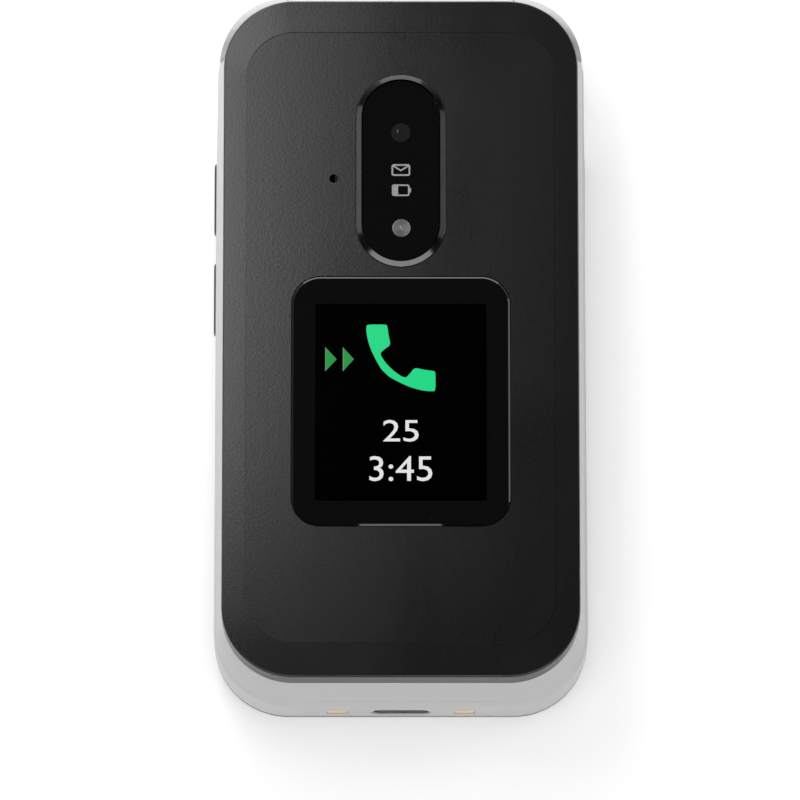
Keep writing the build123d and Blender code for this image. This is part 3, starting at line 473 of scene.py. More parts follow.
NODE_SAME_POINT = 0.002  # a node's points closer than this, in millimetres, are one
NODE_FLAT = 0.4  # a node's triangles that meet at less than this, in degrees, are one face
SHARP_ANGLE = 35.0  # an edge that turns by more than this, in degrees, is sharp and gets broken
BREAK_SEGMENTS = 2  # steps across a broken edge
LOOKS_UP = 0.98  # upward part of a face's direction above which it counts as an upper face
WIDE_FACE = 20.0  # a side face larger than this, in square millimetres, is shaded flat


def settled_mesh(thing):
    """Plain mesh of an object with its modifiers applied; the object itself is removed."""
    bpy.context.view_layer.update()
    graph = bpy.context.evaluated_depsgraph_get()
    mesh = bpy.data.meshes.new_from_object(thing.evaluated_get(graph), depsgraph=graph)
    bpy.data.objects.remove(thing)
    return mesh


def refined(name, edge, settle=None, steer=None, reshape=None):
    """Copy of a CAD node with its triangles merged, its edges softly broken and its curves smooth.

    A settle function moves points of the copy before its edges are broken, and a reshape function moves
    them after it. A steer function gives the shading direction of the faces that look up, from a corner's
    place and the middle of its face.
    """
    bm = bmesh.new()
    bm.from_mesh(frame["nodes"][name].data)
    bmesh.ops.remove_doubles(bm, verts=bm.verts, dist=NODE_SAME_POINT * MM)
    if settle:
        settle(bm.verts)
    bmesh.ops.dissolve_limit(bm, angle_limit=radians(NODE_FLAT), verts=bm.verts, edges=bm.edges)
    mesh = bpy.data.meshes.new(name + "_merged")
    bm.to_mesh(mesh)
    bm.free()
    shade_soft(mesh, SHARP_ANGLE)
    if steer:
        for face in mesh.polygons:
            face.use_smooth = face.normal.z > LOOKS_UP or face.area < WIDE_FACE * MM * MM
    rough = new_object(name + "_merged", mesh)
    if edge:
        broken = rough.modifiers.new("broken_edges", "BEVEL")
        broken.width, broken.segments = edge * MM, BREAK_SEGMENTS
        broken.limit_method, broken.angle_limit = "ANGLE", radians(SHARP_ANGLE)
        broken.miter_outer = "MITER_ARC"
    even = rough.modifiers.new("even_shading", "WEIGHTED_NORMAL")
    even.keep_sharp = True
    finished = settled_mesh(rough)
    if reshape:
        reshape(finished.vertices)
    if steer:
        ways = [corner.vector.copy() for corner in finished.corner_normals]
        for face in finished.polygons:
            if face.normal.z > LOOKS_UP:
                for i in face.loop_indices:
                    place = finished.vertices[finished.loops[i].vertex_index].co / MM
                    ways[i] = steer(place, face.center / MM)
        finished.normals_split_custom_set(ways)
    add_piece(name + "_finished", finished, slot_of_node[name], body_of_node[name], stands_for=(name,))


# ======== repeated pieces
def geometry_tree(name, inputs):
    """Geometry tree with its two end nodes, a start mesh, a finish and other named inputs."""
    inputs = {"Geometry": "Geometry", "Finish": "Material"} | inputs
    return new_group(name, "Geometry", inputs, ["Geometry"], "Geometry")


def close_tree(tree, into, out, shape):
    """Ends a geometry tree: real meshes, and the finish on them."""
    real = node(tree, "GeometryNodeRealizeInstances", {0: shape})
    done = node(tree, "GeometryNodeSetMaterial", {
        "Geometry": real.outputs[0], "Material": into.outputs["Finish"],
    })
    tree.links.new(done.outputs[0], out.inputs[0])


def points_tree():
    """Sets one piece on each point."""
    tree, into, out = geometry_tree("piece_on_points", {"Piece": "Object"})
    piece = node(tree, "GeometryNodeObjectInfo", {"Object": into.outputs["Piece"]})
    placed = node(tree, "GeometryNodeInstanceOnPoints", {
        "Points": into.outputs["Geometry"], "Instance": piece.outputs["Geometry"],
    })
    close_tree(tree, into, out, placed.outputs[0])
    return tree


def cloth_tree():
    """Woven wire cloth: two families of wavy wires that pass over and under each other."""
    tree, into, out = geometry_tree("woven_wire_cloth", {
        "Width": 0.01, "Height": 0.01, "Pitch": 0.0003, "Wire Radius": 0.00005,
    })
    size = (into.outputs["Width"], into.outputs["Height"])
    pitch = into.outputs["Pitch"]
    half = [times(tree, side, -0.5) for side in size]
    place = node(tree, "ShaderNodeSeparateXYZ", {0: node(tree, "GeometryNodeInputPosition").outputs[0]})
    waves = [
        math_node(tree, "COSINE", times(tree, pi, math_node(
            tree, "DIVIDE", math_node(tree, "SUBTRACT", place.outputs[axis], half[axis]), pitch
        )))
        for axis in (0, 1)
    ]
    rise = times(tree, times(tree, *waves), into.outputs["Wire Radius"])
    round_wire = node(tree, "GeometryNodeCurvePrimitiveCircle", {
        "Resolution": 6, "Radius": into.outputs["Wire Radius"],
    }).outputs[0]
    families = []
    for axis, way in ((0, 1.0), (1, -1.0)):
        across = 1 - axis
        counts = [
            math_node(tree, "FLOOR", math_node(tree, "DIVIDE", size[side], pitch)) for side in (axis, across)
        ]
        ends = []
        for sign in (1.0, -1.0):
            reach = times(tree, half[across], sign)
            ends.append(node(tree, "ShaderNodeCombineXYZ", {across: reach}).outputs[0])
        line = node(tree, "GeometryNodeCurvePrimitiveLine", {"Start": ends[0], "End": ends[1]})
        fine = node(tree, "GeometryNodeResampleCurve", {
            "Curve": line.outputs[0], "Count": times(tree, counts[1], 4.0),
        })
        start = node(tree, "ShaderNodeCombineXYZ", {axis: half[axis]}).outputs[0]
        step = node(tree, "ShaderNodeCombineXYZ", {axis: pitch}).outputs[0]
        row = node(tree, "GeometryNodeMeshLine", {
            "Count": plus(tree, counts[0], 1.0), "Start Location": start, "Offset": step,
        })
        wires = node(tree, "GeometryNodeInstanceOnPoints", {
            "Points": row.outputs[0], "Instance": fine.outputs[0],
        })
        lines = node(tree, "GeometryNodeRealizeInstances", {0: wires.outputs[0]})
        lift = node(tree, "ShaderNodeCombineXYZ", {2: times(tree, rise, way)}).outputs[0]
        wavy = node(tree, "GeometryNodeSetPosition", {"Geometry": lines.outputs[0], "Offset": lift})
        families.append(node(tree, "GeometryNodeCurveToMesh", {
            "Curve": wavy.outputs[0], "Profile Curve": round_wire,
        }).outputs[0])
    both = node(tree, "GeometryNodeJoinGeometry")
    for family in families:
        tree.links.new(family, both.inputs[0])
    close_tree(tree, into, out, both.outputs[0])
    return tree


piece_on_points = points_tree()
woven_wire_cloth = cloth_tree()


def grown(tree, start_mesh, **values):
    """Plain mesh that a geometry tree makes from a start mesh and its named inputs."""
    rough = new_object("grown", start_mesh)
    growth = rough.modifiers.new("growth", "NODES")
    growth.node_group = tree
    for item in tree.interface.items_tree:
        label = item.name.replace(" ", "_")
        if item.in_out == "INPUT" and label in values:
            growth[item.identifier] = values[label]
    return settled_mesh(rough)


def point_mesh(points):
    """Loose points, given in millimetres."""
    mesh = bpy.data.meshes.new("points")
    mesh.from_pydata([[v * MM for v in point] for point in points], [], [])
    return mesh


def repeated(name, one, points, finish, body):
    """One small mesh set on every point, as one piece."""
    model = new_object("model_piece", one)
    mesh = grown(piece_on_points, point_mesh(points), Piece=model, Finish=materials[finish])
    bpy.data.objects.remove(model)
    shade_soft(mesh)
    add_piece(name, mesh, finish, body)


def cloth(name, width, height, pitch, wire, place, body):
    """Fine wire cloth over an opening."""
    mesh = grown(
        woven_wire_cloth, point_mesh([(0, 0, 0)]), Width=width * MM, Height=height * MM, Pitch=pitch * MM,
        Wire_Radius=wire * MM, Finish=materials["steel"],
    )
    mesh.transform(Matrix.Translation(Vector(place) * MM))
    mesh.shade_smooth()
    add_piece(name, mesh, "steel", body)


# ======== marks, in millimetres
def inset_levels(w, h, r, levels):
    """Sections of a rounded rectangle, each drawn in by its own amount at its own level."""
    return [(w - 2 * inset, h - 2 * inset, r - inset, z) for inset, z in levels]


def smooth_outline(points, steps):
    """Closed curve through the given points."""
    count = len(points)
    result = []
    for i in range(count):
        a, b, c, d = (Vector(points[(i + k - 1) % count]) for k in range(4))
        for s in range(steps):
            t = s / steps
            result.append(tuple(0.5 * (
                2 * b + (c - a) * t + (2 * a - 5 * b + 4 * c - d) * t * t + (3 * b - a - 3 * c + d) * t ** 3
            )))
    return result


def turned(points, size, degrees, x, y):
    """Points scaled, turned and moved to a place."""
    c, s = cos(radians(degrees)) * size, sin(radians(degrees)) * size
    return [(x + px * c - py * s, y + px * s + py * c) for px, py in points]


FIELD_THICK, MARK_THICK = 0.01, 0.015  # a display's picture: its field, and the marks on the field
PRINT_THICK = 0.02  # prints on keys and on the camera bar's glass
# One half of a handset's outline; the other half is its mirror image across the line x = y.
HALF_HANDSET = [
    (-1.5, -1.5), (-2.3, -0.6), (-3.0, 0.7), (-2.3, 1.5), (-1.58, 2.2), (-1.8, 3.6), (-2.0, 4.97),
    (-2.3, 5.25), (-3.6, 5.3), (-4.8, 5.25), (-5.15, 4.9), (-5.0, 3.2), (-4.35, 1.1), (-3.1, -1.35),
]
handset = smooth_outline(HALF_HANDSET + [(-2.3, -2.3)] + [(y, x) for x, y in reversed(HALF_HANDSET[1:])], 4)


def envelope(bm, w, h, line, x, y, low, high):
    """Message sign: a frame with a folded flap."""
    stroke(bm, outline_at(x, y, w, h, h * 0.16, 4), line, low, high, True)
    side, top = w / 2 - line * 0.3, y + h / 2 - line * 0.4
    sink = (high - low) * 0.1
    stroke(bm, [(x - side, top), (x, y - h * 0.04), (x + side, top)], line * 0.9, low + sink, high - sink)


def battery_sign(bm, w, h, line, x, y, low, high, filled):
    """Battery sign: a frame with its contact at the right and part of it filled."""
    stroke(bm, outline_at(x, y, w, h, h * 0.14, 4), line, low, high, True)
    inner = w - 2 * line
    contact = (x + w / 2 + line / 2, x + w / 2 + line * 1.4, h * 0.42)
    charge = (x - inner / 2 - line * 0.6, x - inner / 2 + inner * filled, h - 0.9 * line)
    for left, right, tall in (contact, charge):
        block(bm, left, right, y - tall / 2, y + tall / 2, low, high)


def letters(bm, text, height, x, y, low, high, width=None):
    """Adds numerals as a thin plate centred on a place, with their height and, where given, their width."""
    curve = bpy.data.curves.new("numerals", "FONT")
    curve.body, curve.extrude, curve.resolution_u = text, 0.1, 3
    mesh = settled_mesh(new_object("numerals", curve))
    places = [v.co.copy() for v in mesh.vertices]
    small = Vector([min(p[i] for p in places) for i in range(3)])
    size = Vector([max(p[i] for p in places) for i in range(3)]) - small
    tall = height / size.y
    wide = width / size.x if width else tall
    for v in mesh.vertices:
        v.co = (
            x + (v.co.x - small.x - size.x / 2) * wide, y + (v.co.y - small.y - size.y / 2) * tall,
            low + (v.co.z - small.z) / size.z * (high - low),
        )
    bm.from_mesh(mesh)
    bpy.data.meshes.remove(mesh)


def plate_piece(name, draw, finish, body="lid", face_down=False):
    """Piece drawn by a function that fills an empty mesh."""
    bm = bmesh.new()
    draw(bm)
    add_piece(name, to_mesh(bm, name, PLATE_SMOOTH_BELOW, face_down), finish, body)


# ======== outside of the lid
PANEL_W, PANEL_H, PANEL_R = 47.0, 96.0, 7.2  # the panel inside the cover's crease
CREASE_REACH = 0.12  # how far the crease reaches past the panel
BORDER_DROP, BORDER_FOOT = 0.3, 15.4  # fall of the border, and level of the cover's lower edge
BORDER_SIDE, BORDER_END = 3.5, 5.1  # width of the border at the sides and at the ends
BORDER_KEPT = 0.12  # share of the fall that stays at the sides


def from_corner(x, y):
    """How far a place lies beyond the middles of the panel's corner arcs, along both axes."""
    return max(abs(x) - PANEL_W / 2 + PANEL_R, 0.0), max(abs(y) - PANEL_H / 2 + PANEL_R, 0.0)


def eased_share(across, along):
    """Share of the border's fall that is taken away: most of it at the sides, nothing at the ends."""
    return (1 - BORDER_KEPT) * across / (across + along)


def ease_border(points):
    """Lets the cover's border run almost level with the panel inside the crease, along the sides."""
    for v in points:
        x, y, z = v.co / MM
        across, along = from_corner(x, y)
        if hypot(across, along) - PANEL_R < CREASE_REACH or z < BORDER_FOOT:
            continue
        eased = eased_share(across, along)
        fall = cover_top - z
        if fall <= BORDER_DROP:
            rise = fall * eased
        else:
            rise = BORDER_DROP * eased * (z - BORDER_FOOT) / (cover_top - BORDER_DROP - BORDER_FOOT)
        v.co.z += rise * MM


def border_way(place, middle):
    """Shading direction of the cover's upper faces: level inside the crease, sloping on the border."""
    if hypot(*from_corner(middle.x, middle.y)) < PANEL_R:
        return Vector((0.0, 0.0, 1.0))
    across, along = from_corner(place.x, place.y)
    far = hypot(across, along)
    width = BORDER_END + (BORDER_SIDE - BORDER_END) * across / (across + along)
    slope = BORDER_DROP / width * (1 - eased_share(across, along))
    way = Vector((copysign(across, place.x) / far * slope, copysign(along, place.y) / far * slope, 1.0))
    return way.normalized()


BASE_CORNER, SHOWN_CORNER = 11.3, 13.7  # plan corner at the base's hinge end: of the node, and as shown
KNUCKLE_FACE, FACE_EASE = 17.25, 2.5  # inner face of a knuckle, and the stretch in which its end eases off
FACE_KEPT = 0.25  # least width that a knuckle keeps beside that face
LEAST_WIDTH = 0.01  # a knuckle narrower than this isn't scaled by its own width


def round_hinge_corners(points):
    """Draws the outer ends of the hinge knuckles and the base's corners below them in to a rounder outline.

    Points move along the hinge axis only, so the round clearance for the lid's barrel stays as it is.
    """
    high = box_mm("front_case")[1]

    def half_width(y, corner):
        beyond = max(0.0, y - high.y + corner)
        return high.x - corner + sqrt(max(0.0, corner ** 2 - beyond ** 2))

    for v in points:
        x, y, _ = v.co / MM
        before = half_width(y, BASE_CORNER)
        if abs(x) <= KNUCKLE_FACE or before <= KNUCKLE_FACE or y <= high.y - SHOWN_CORNER:
            continue
        ease = min(1.0, max(0.0, (before - KNUCKLE_FACE) / FACE_EASE))
        after = before - (before - half_width(y, SHOWN_CORNER)) * ease
        after = max(after, min(before, KNUCKLE_FACE + FACE_KEPT))
        share = min(1.0, (after - KNUCKLE_FACE) / max(before - KNUCKLE_FACE, LEAST_WIDTH))
        v.co.x = copysign(KNUCKLE_FACE + (abs(x) - KNUCKLE_FACE) * share, x) * MM


CURVE_STEPS = 24  # steps in each quarter of the camera bar's ends


def build_ring():
    """Polished ring with an outer slope and a narrow flat crest."""
    w, h = ring_high.x - ring_low.x, ring_high.y - ring_low.y
    foot, top = ring_low.z, ring_high.z
    outside = [(0.0, foot), (0.0, top - 0.38), (0.01, top - 0.34), (0.04, top - 0.32)]
    crest = [(0.78, top), (0.84, top)]
    inside = [(0.85, top - 0.03), (0.85, foot)]
    bm = bmesh.new()
    stack(bm, inset_levels(w, h, w / 2, outside + crest + inside), bar_y, CURVE_STEPS, closed=True)
    mesh = to_mesh(bm, "camera_ring_finished", RING_SMOOTH_BELOW)
    add_piece("camera_ring_finished", mesh, "dark_metal", stands_for=("camera_ring",))


def build_microphone_gauze():
    """Black gauze just below the mouth of the small hole beside the bar."""
    radii_depths = ((0.66, 0.6), (0.66, 0.22), (0.5, 0.25), (0.1, 0.27))

    def gauze(bm):
        profile = [(r, cover_top - depth) for r, depth in radii_depths]
        turned_profile(bm, profile, *middle_mm("lid_microphone"), steps=32)

    plate_piece("microphone_gauze", gauze, "display")


def build_glass(node_name, finish, corner, insets_drops, steps):
    """Glass with a softly rounded upper edge in place of its plain node."""
    low, high = box_mm(node_name)
    w, h = high.x - low.x, high.y - low.y
    levels = [(0.0, low.z)] + [(inset, high.z - drop) for inset, drop in insets_drops]
    bm = bmesh.new()
    stack(bm, inset_levels(w, h, corner, levels), middle_mm(node_name)[1], steps)
    mesh = to_mesh(bm, node_name + "_finished", PLATE_SMOOTH_BELOW)
    add_piece(node_name + "_finished", mesh, finish, stands_for=(node_name,))


def build_camera_bar():
    """Lens, lamp with its chip drawn as a painted highlight, and the two signs on the bar's glass."""
    face = bar_high.z
    root = face - 0.1
    lens_y = middle_mm("camera_module")[1]
    lamp_y = middle_mm("flash_led")[1]
    bezel_r, bezel_top = 1.48, face + 0.03
    dome_r, dome_foot, dome_rise = 0.47, face + 0.032, 0.028
    lamp_r, ridge_count, ridge_pitch = 1.38, 6, 0.2

    def lens_bezel(bm):
        turned_profile(bm, [(bezel_r, root), (bezel_r, bezel_top), (dome_r - 0.01, bezel_top)], y=lens_y)

    def lens_dome(bm):
        cap = [(dome_r * r, dome_foot + dome_rise * (1 - r * r)) for r in (1.0, 0.8, 0.6, 0.4, 0.2, 0.05)]
        turned_profile(bm, [(dome_r, root)] + cap, x=-0.1, y=lens_y + 0.2, steps=36)

    def lamp_lens(bm):
        profile = [(lamp_r, root), (lamp_r, face + 0.05), (lamp_r - 0.05, face + 0.06)]
        for i in range(ridge_count):
            r = lamp_r - 0.12 - ridge_pitch * i
            profile += [(r, face + 0.04), (r - 0.06, face + 0.055)]
        turned_profile(bm, profile, x=0.08, y=lamp_y - 0.12)

    # The lamp's chip as a lighter, tilted drop: a painted highlight of the glint on the lamp's lens.
    def lamp_chip(bm):
        drop = outline_points(0.34, 0.8, 0.165, 4)
        flat_shape(bm, turned(drop, 1.0, 20, 0.05, lamp_y - 0.05), face + 0.02, face + 0.066)

    plate_piece("lens_bezel", lens_bezel, "lens_glass")
    plate_piece("lens_dome", lens_dome, "lens_dark")
    plate_piece("lamp_lens", lamp_lens, "lamp")
    plate_piece("lamp_chip", lamp_chip, "lamp_chip")

    def signs(bm):
        envelope(bm, 2.6, 1.6, 0.26, 0.0, bar_y + 0.05, face, face + PRINT_THICK)
        battery_sign(bm, 2.45, 1.6, 0.24, -0.02, bar_y - 3.15, face, face + PRINT_THICK, 0.3)

    plate_piece("bar_signs", signs, "printed_sign")


def build_outer_picture():
    """What the outer display shows: a dark field, a handset, two pointers and the numbers."""
    low = window_top
    mark_low = low + FIELD_THICK
    mark_high = mark_low + MARK_THICK
    pointer_y, pointer_half = -3.80, 1.885
    body_foot, edge_top = mark_low + 0.004, mark_low + 0.008

    def field(bm):
        flat_shape(bm, outline_at(0.0, -10.5, 25.9, 30.8, 0.3, 3), low, mark_low)

    def pointers(bm, inset, foot, top):
        half = pointer_half - inset * 1.4
        for left, tip in ((-11.44, -9.71), (-8.78, -7.11)):
            flat_shape(bm, [
                (left + inset, pointer_y - half), (tip - inset * 0.2, pointer_y),
                (left + inset, pointer_y + half),
            ], foot, top)

    def numbers(bm):
        letters(bm, "25", 3.4, 0.0, -15.0, mark_low, mark_high, width=5.4)
        letters(bm, "3:45", 3.9, 0.0, -20.9, mark_low, mark_high, width=9.5)

    plate_piece("outer_picture_field", field, "display")
    plate_piece(
        "outer_picture_handset",
        lambda bm: flat_shape(bm, turned(handset, 1.0, 0, -0.06, -3.66), mark_low, mark_high),
        "lit_green",
    )
    plate_piece(
        "outer_picture_pointers", lambda bm: pointers(bm, 0.12, body_foot, mark_high),
        "lit_dim_green",
    )
    plate_piece(
        "outer_picture_pointer_edges", lambda bm: pointers(bm, 0.0, mark_low, edge_top),
        "lit_pale_edge",
    )
    plate_piece("outer_picture_numbers", numbers, "lit_white")


# ======== inside of the phone
def build_inner_picture():
    """What the large display shows when the phone is open, drawn as it is read and turned face down."""
    low = -inner_glass_face
    mark_low = low + FIELD_THICK
    mark_high = mark_low + MARK_THICK
    middle = -middle_mm("inner_display")[1]
    top_line, foot_line = middle + 26.0, middle - 26.6
    reach = 21  # half the width of the hills

    def sky(bm):
        flat_shape(bm, outline_at(0.0, middle, 43.6, 58.6, 0.4, 3), low, mark_low)

    def hills(bm):
        crest = [
            (x, middle - 14.0 + 3.2 * sin(x * 0.16 + 0.8) + 1.4 * sin(x * 0.37))
            for x in range(-reach, reach + 1, 3)
        ]
        foot = middle - 23.8
        flat_shape(bm, [(-reach, foot), (reach, foot), *reversed(crest)], mark_low, mark_low + 0.006)

    def white_marks(bm):
        letters(bm, "3:45", 9.5, 0.0, middle + 12.0, mark_low, mark_high)
        letters(bm, "25", 4.0, 0.0, middle + 2.5, mark_low, mark_high)
        for i in range(4):
            left, tall = -20.4 + 0.9 * i, 0.8 + 0.5 * i
            block(bm, left, left + 0.6, top_line, top_line + tall, mark_low, mark_high)
        battery_sign(bm, 3.4, 1.8, 0.25, 18.2, middle + 27.2, mark_low, mark_high, 0.7)
        envelope(bm, 3.2, 2.1, 0.3, -17.5, foot_line, mark_low, mark_high)
        for x in (16.3, 17.5, 18.7):
            flat_shape(bm, outline_at(x, foot_line, 0.7, 0.7, 0.34, 3), mark_low, mark_high)

    plate_piece("inner_picture_sky", sky, "lit_sky", face_down=True)
    plate_piece("inner_picture_hills", hills, "lit_shade", face_down=True)
    plate_piece("inner_picture_marks", white_marks, "lit_white", face_down=True)


def key_print(name, draw, finish):
    """Print on a key, drawn by a function of mesh, place and levels, that rides on the key."""
    top = box_mm(name)[1].z
    plate_piece(
        name + "_print", lambda bm: draw(bm, *middle_mm(name), top, top + PRINT_THICK),
        finish, name,
    )


def build_key_prints():
    """Prints on the keys, each riding on its own key."""
    numerals = {f"key_{n}": str(n) for n in range(10)} | {"key_star": "*", "key_hash": "#"}
    for name, text in numerals.items():
        height = 2.4 if text == "*" else 4.2
        key_print(name, lambda bm, *place: letters(bm, text, height, *place), "key_print")

    def short_bar(bm, x, y, low, high):
        flat_shape(bm, outline_at(x, y, 4.6, 0.7, 0.34, 5), low, high)

    def bent_arrow(bm, x, y, low, high):
        line = [(x - 1.4, y + 0.9), (x + 0.9, y + 0.9)] + arc_points(x + 0.9, y - 0.05, 0.95, 90, -90, 10)
        stroke(bm, line + [(x - 0.6, y - 1.0)], 0.4, low, high)
        flat_shape(bm, [(x - 2.2, y + 0.9), (x - 1.2, y + 0.1), (x - 1.2, y + 1.7)], low, high)

    def small_camera(bm, x, y, low, high):
        stroke(bm, outline_at(x, y, 4.2, 2.6, 0.5, 5), 0.34, low, high, True)
        stroke(bm, arc_points(x, y, 0.72, 0, 330, 11), 0.32, low, high, True)
        hump = [(x - 0.9, y + 1.4), (x + 0.9, y + 1.4), (x + 0.6, y + 1.85), (x - 0.6, y + 1.85)]
        flat_shape(bm, hump, low, high)

    def pointers(bm, x, y, low, high):
        pointer = [(0.6, 0.0), (-0.35, 0.85), (-0.35, -0.85)]
        for turn, far in ((0, 6.3), (90, 8.6), (180, 6.3), (270, 8.6)):
            place = x + far * cos(radians(turn)), y + far * sin(radians(turn))
            flat_shape(bm, turned(pointer, 1.0, turn, *place), low, high)

    def small_handset(bm, degrees, x, y, low, high):
        flat_shape(bm, turned(handset, 0.36, degrees, x, y), low, high)

    drawings = {
        "soft_left_key": ("key_print", short_bar),
        "soft_right_key": ("key_print", short_bar),
        "call_key": ("call_green", lambda bm, *place: small_handset(bm, 0, *place)),
        "end_key": ("end_red", lambda bm, x, y, low, high: small_handset(bm, -135, x, y - 0.4, low, high)),
        "message_key": ("key_print", lambda bm, *place: envelope(bm, 4.0, 2.6, 0.34, *place)),
        "back_key": ("key_print", bent_arrow),
        "camera_key": ("key_print", small_camera),
        "navigation_key": ("key_print", pointers),
        "ok_key": ("key_print", lambda bm, x, y, low, high: stroke(
            bm, arc_points(x, y, 1.5, 0, 345, 23), 0.35, low, high, True)),
    }
    for name, (finish, draw) in drawings.items():
        key_print(name, draw, finish)


def screw_face():
    """Thin face of a screw's head, with the step round its six-lobed recess."""
    lobes, lobe_depth, steps = 6, 0.12, 36
    loops = []
    for size, level, depth in (
        (1.18, -0.001, 0.0), (1.12, -0.03, 0.0), (0.78, -0.03, lobe_depth), (0.74, -0.002, lobe_depth),
    ):
        turns = [tau * i / steps for i in range(steps)]
        reaches = [size + depth * cos(lobes * turn) for turn in turns]
        loops.append([(r * cos(turn), r * sin(turn), level) for r, turn in zip(reaches, turns)])
    bm = bmesh.new()
    skin(bm, loops)
    return to_mesh(bm, "screw_face")


def build_screws():
    """Faces on the heads of the lid's four screws."""
    low, high = box_mm("lid_screws")
    inset = 1.3  # from the side of the group's box to a screw's axis
    places = [
        (x, y, low.z) for x in (low.x + inset, high.x - inset) for y in (low.y + inset, high.y - inset)
    ]
    repeated("lid_screw_faces", screw_face(), places, "steel", "lid")


def build_cloths():
    """Wire cloth in the earpiece's slot and behind the loudspeaker's slots."""
    slot_depth, speaker_gap = 0.7, 0.12
    in_slot = (*middle_mm("earpiece"), inner_glass_face + slot_depth)
    cloth("earpiece_cloth", 9.3, 1.5, 0.3, 0.05, in_slot, "lid")
    below_speaker = (*middle_mm("loudspeaker"), box_mm("loudspeaker")[0].z - speaker_gap)
    cloth("loudspeaker_cloth", 10.5, 9.6, 0.35, 0.055, below_speaker, "base")


# ======== floor, light and camera
WHITE = (*grey(1.0), 1)
FLOOR_REACH = 3.0  # half the side of the floor, in metres
FLOOR_GLOW = 0.4  # what the pale floor adds of its own where it is seen
ROOM = 0.25  # brightness of the room in its soft light
CEILING = 0.03  # brightness overhead, as seen in a gloss; the walls have 1
WALL_TOP, CEILING_EDGE = 0.2, 0.55  # upward part of a direction where the walls end and the ceiling starts
CAMERA_TARGET = (-0.00013, -0.01016)  # place on the cover that the camera looks at, in metres
CAMERA_DISTANCE, CAMERA_RISE = 1.4, 75.0  # in metres, and in degrees over the floor
CAMERA_LENS, CAMERA_SENSOR = 417.0, 36.0
# Soft panels: name, place, point they face, width and height, brightness.
PANELS = [
    ("main_panel", (-0.075, 0.155, 0.2), (-0.075, 0.155, 0.0), (0.09, 0.28), 3.5),
    ("left_panel", (-0.30, 0.15, 0.29), (0.0, 0.0, 0.02), (0.17, 0.15), 0.69),
    ("front_panel", (0.0, -0.226, 0.448), (0.0, 0.0, 0.02), (0.70, 0.2), 1.9),
    ("back_panel", (0.0, 0.44, 0.26), (0.0, 0.0, 0.02), (0.3, 0.16), 0.85),
    ("right_panel", (0.35, 0.13, 0.35), (0.0, 0.0, 0.02), (0.2, 0.16), 0.385),
    ("right_low_panel", (0.42, 0.13, 0.26), (0.0, 0.0, 0.02), (0.2, 0.12), 1.9),
    ("back_low_panel", (0.0, 0.435, 0.137), (0.0, 0.0, 0.02), (0.5, 0.07), 2.7),
    ("front_strip", (0.0, -0.235, 0.225), (0.0, -0.03, 0.02), (0.022, 0.09), 2.8),
]


def seen_directly(tree):
    """1 where a surface is seen, also in a gloss or through a clear piece, and 0 for its soft light."""
    path = node(tree, "ShaderNodeLightPath")
    seen = plus(tree, path.outputs["Is Camera Ray"], path.outputs["Is Glossy Ray"])
    return plus(tree, seen, path.outputs["Is Transmission Ray"], clamp=True)


def build_floor():
    """Pale floor."""
    corners = [(x * FLOOR_REACH, y * FLOOR_REACH, 0) for x, y in ((-1, -1), (1, -1), (1, 1), (-1, 1))]
    mesh = bpy.data.meshes.new("floor")
    mesh.from_pydata(corners, [], [(0, 1, 2, 3)])
    floor = new_object("floor", mesh)
    tree, surface = shader("paper_floor", Base_Color=(*grey(0.88), 1), Roughness=0.9, Emission_Color=WHITE)
    glow = times(tree, seen_directly(tree), FLOOR_GLOW)
    tree.links.new(glow, surface.inputs["Emission Strength"])
    mesh.materials.append(materials["paper_floor"])


def build_room():
    """Even light from all round, with pale walls and a dark ceiling for the glosses."""
    world = bpy.data.worlds.new("studio")
    bpy.context.scene.world = world
    world.use_nodes = True
    tree = world.node_tree
    way = node(tree, "ShaderNodeSeparateXYZ", {0: node(tree, "ShaderNodeTexCoord").outputs["Generated"]})
    wall = spread(tree, way.outputs[2], 1.0, CEILING, WALL_TOP, CEILING_EDGE)
    links = {0: seen_directly(tree), 2: ROOM, 3: wall}
    level = node(tree, "ShaderNodeMix", links, data_type="FLOAT").outputs[0]
    background = tree.nodes["Background"]
    tree.links.new(level, background.inputs["Strength"])
    background.inputs["Color"].default_value = WHITE


def aimed(thing, place, target):
    """Sets a lamp or the camera on a place and turns it to a target."""
    thing.location = place
    thing.rotation_euler = (target - place).to_track_quat("-Z", "Y").to_euler()


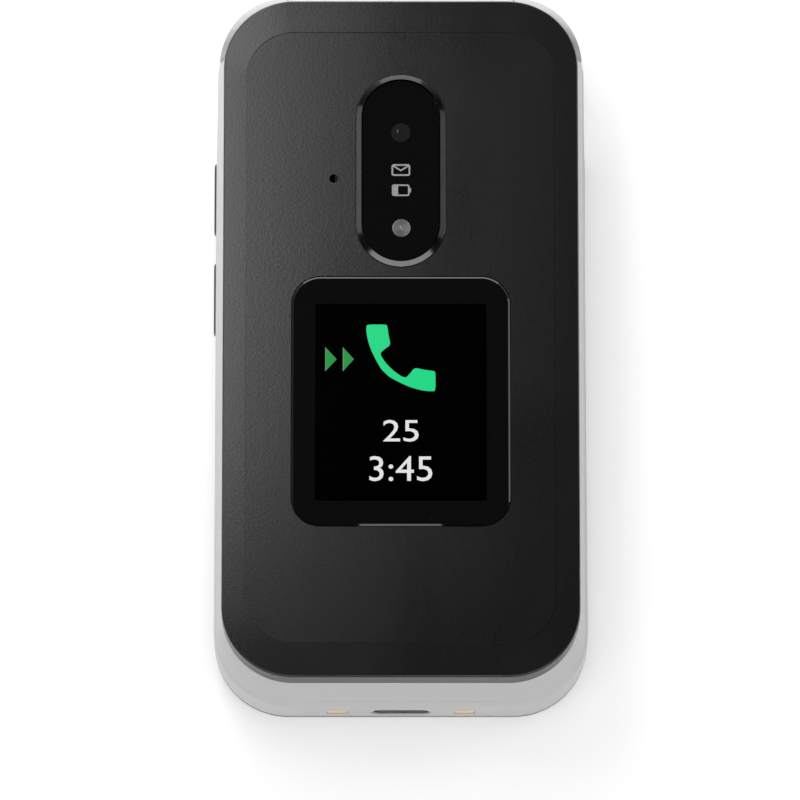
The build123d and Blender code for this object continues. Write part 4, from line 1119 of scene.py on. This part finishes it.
def build_panels():
    """Soft panels, each with its power worked out from its brightness."""
    for name, place, aim, size, level in PANELS:
        data = bpy.data.lights.new(name, "AREA")
        data.shape, data.size, data.size_y = "RECTANGLE", *size
        data.energy = level * pi * size[0] * size[1]
        lamp = new_object(name, data)
        lamp.visible_camera = False
        aimed(lamp, Vector(place), Vector(aim))


def build_camera():
    """Camera, and the plain view transform."""
    data = bpy.data.cameras.new("camera")
    camera = new_object("camera", data)
    bpy.context.scene.camera = camera
    rise = radians(CAMERA_RISE)
    target = Vector((*CAMERA_TARGET, cover_top * MM))
    aimed(camera, target + CAMERA_DISTANCE * Vector((0, -cos(rise), sin(rise))), target)
    data.lens, data.sensor_width = CAMERA_LENS, CAMERA_SENSOR
    data.clip_start, data.clip_end = 0.05, 20.0
    bpy.context.scene.view_settings.view_transform = "Standard"


# ======== the whole
SHELL_EDGE, KEY_EDGE, SIDE_KEY_EDGE = 0.06, 0.08, 0.1  # widths of the broken edges
SIDE_KEYS = ("volume_up_key", "volume_down_key", "assist_key")

refined("lid_cover", 0.0, settle=ease_border, steer=border_way)
for name in ("front_case", "rear_case"):
    refined(name, SHELL_EDGE, reshape=round_hinge_corners)
for name in ("hinge_pin", "hinge_shaft"):
    refined(name, 0.0, reshape=round_hinge_corners)
for name in ("lid_frame", "battery_cover"):
    refined(name, SHELL_EDGE)
for name in SIDE_KEYS:
    refined(name, SIDE_KEY_EDGE)
refined("inner_window", 0.05)
for name in frame["record"]["behaviour"]["bodies"]:
    if name in frame["nodes"] and name not in SIDE_KEYS:
        refined(name, KEY_EDGE)
build_ring()
build_glass(
    "camera_window", "camera_glass", (bar_high.x - bar_low.x) / 2, [(0.0, 0.10), (0.05, 0.0)], CURVE_STEPS
)
build_glass("outer_window", "window_glass", 4.4, [(0.0, 0.24), (0.03, 0.16), (0.30, 0.0)], 16)
build_camera_bar()
build_microphone_gauze()
build_outer_picture()
build_inner_picture()
build_key_prints()
build_screws()
build_cloths()
build_floor()
build_room()
build_panels()
build_camera()
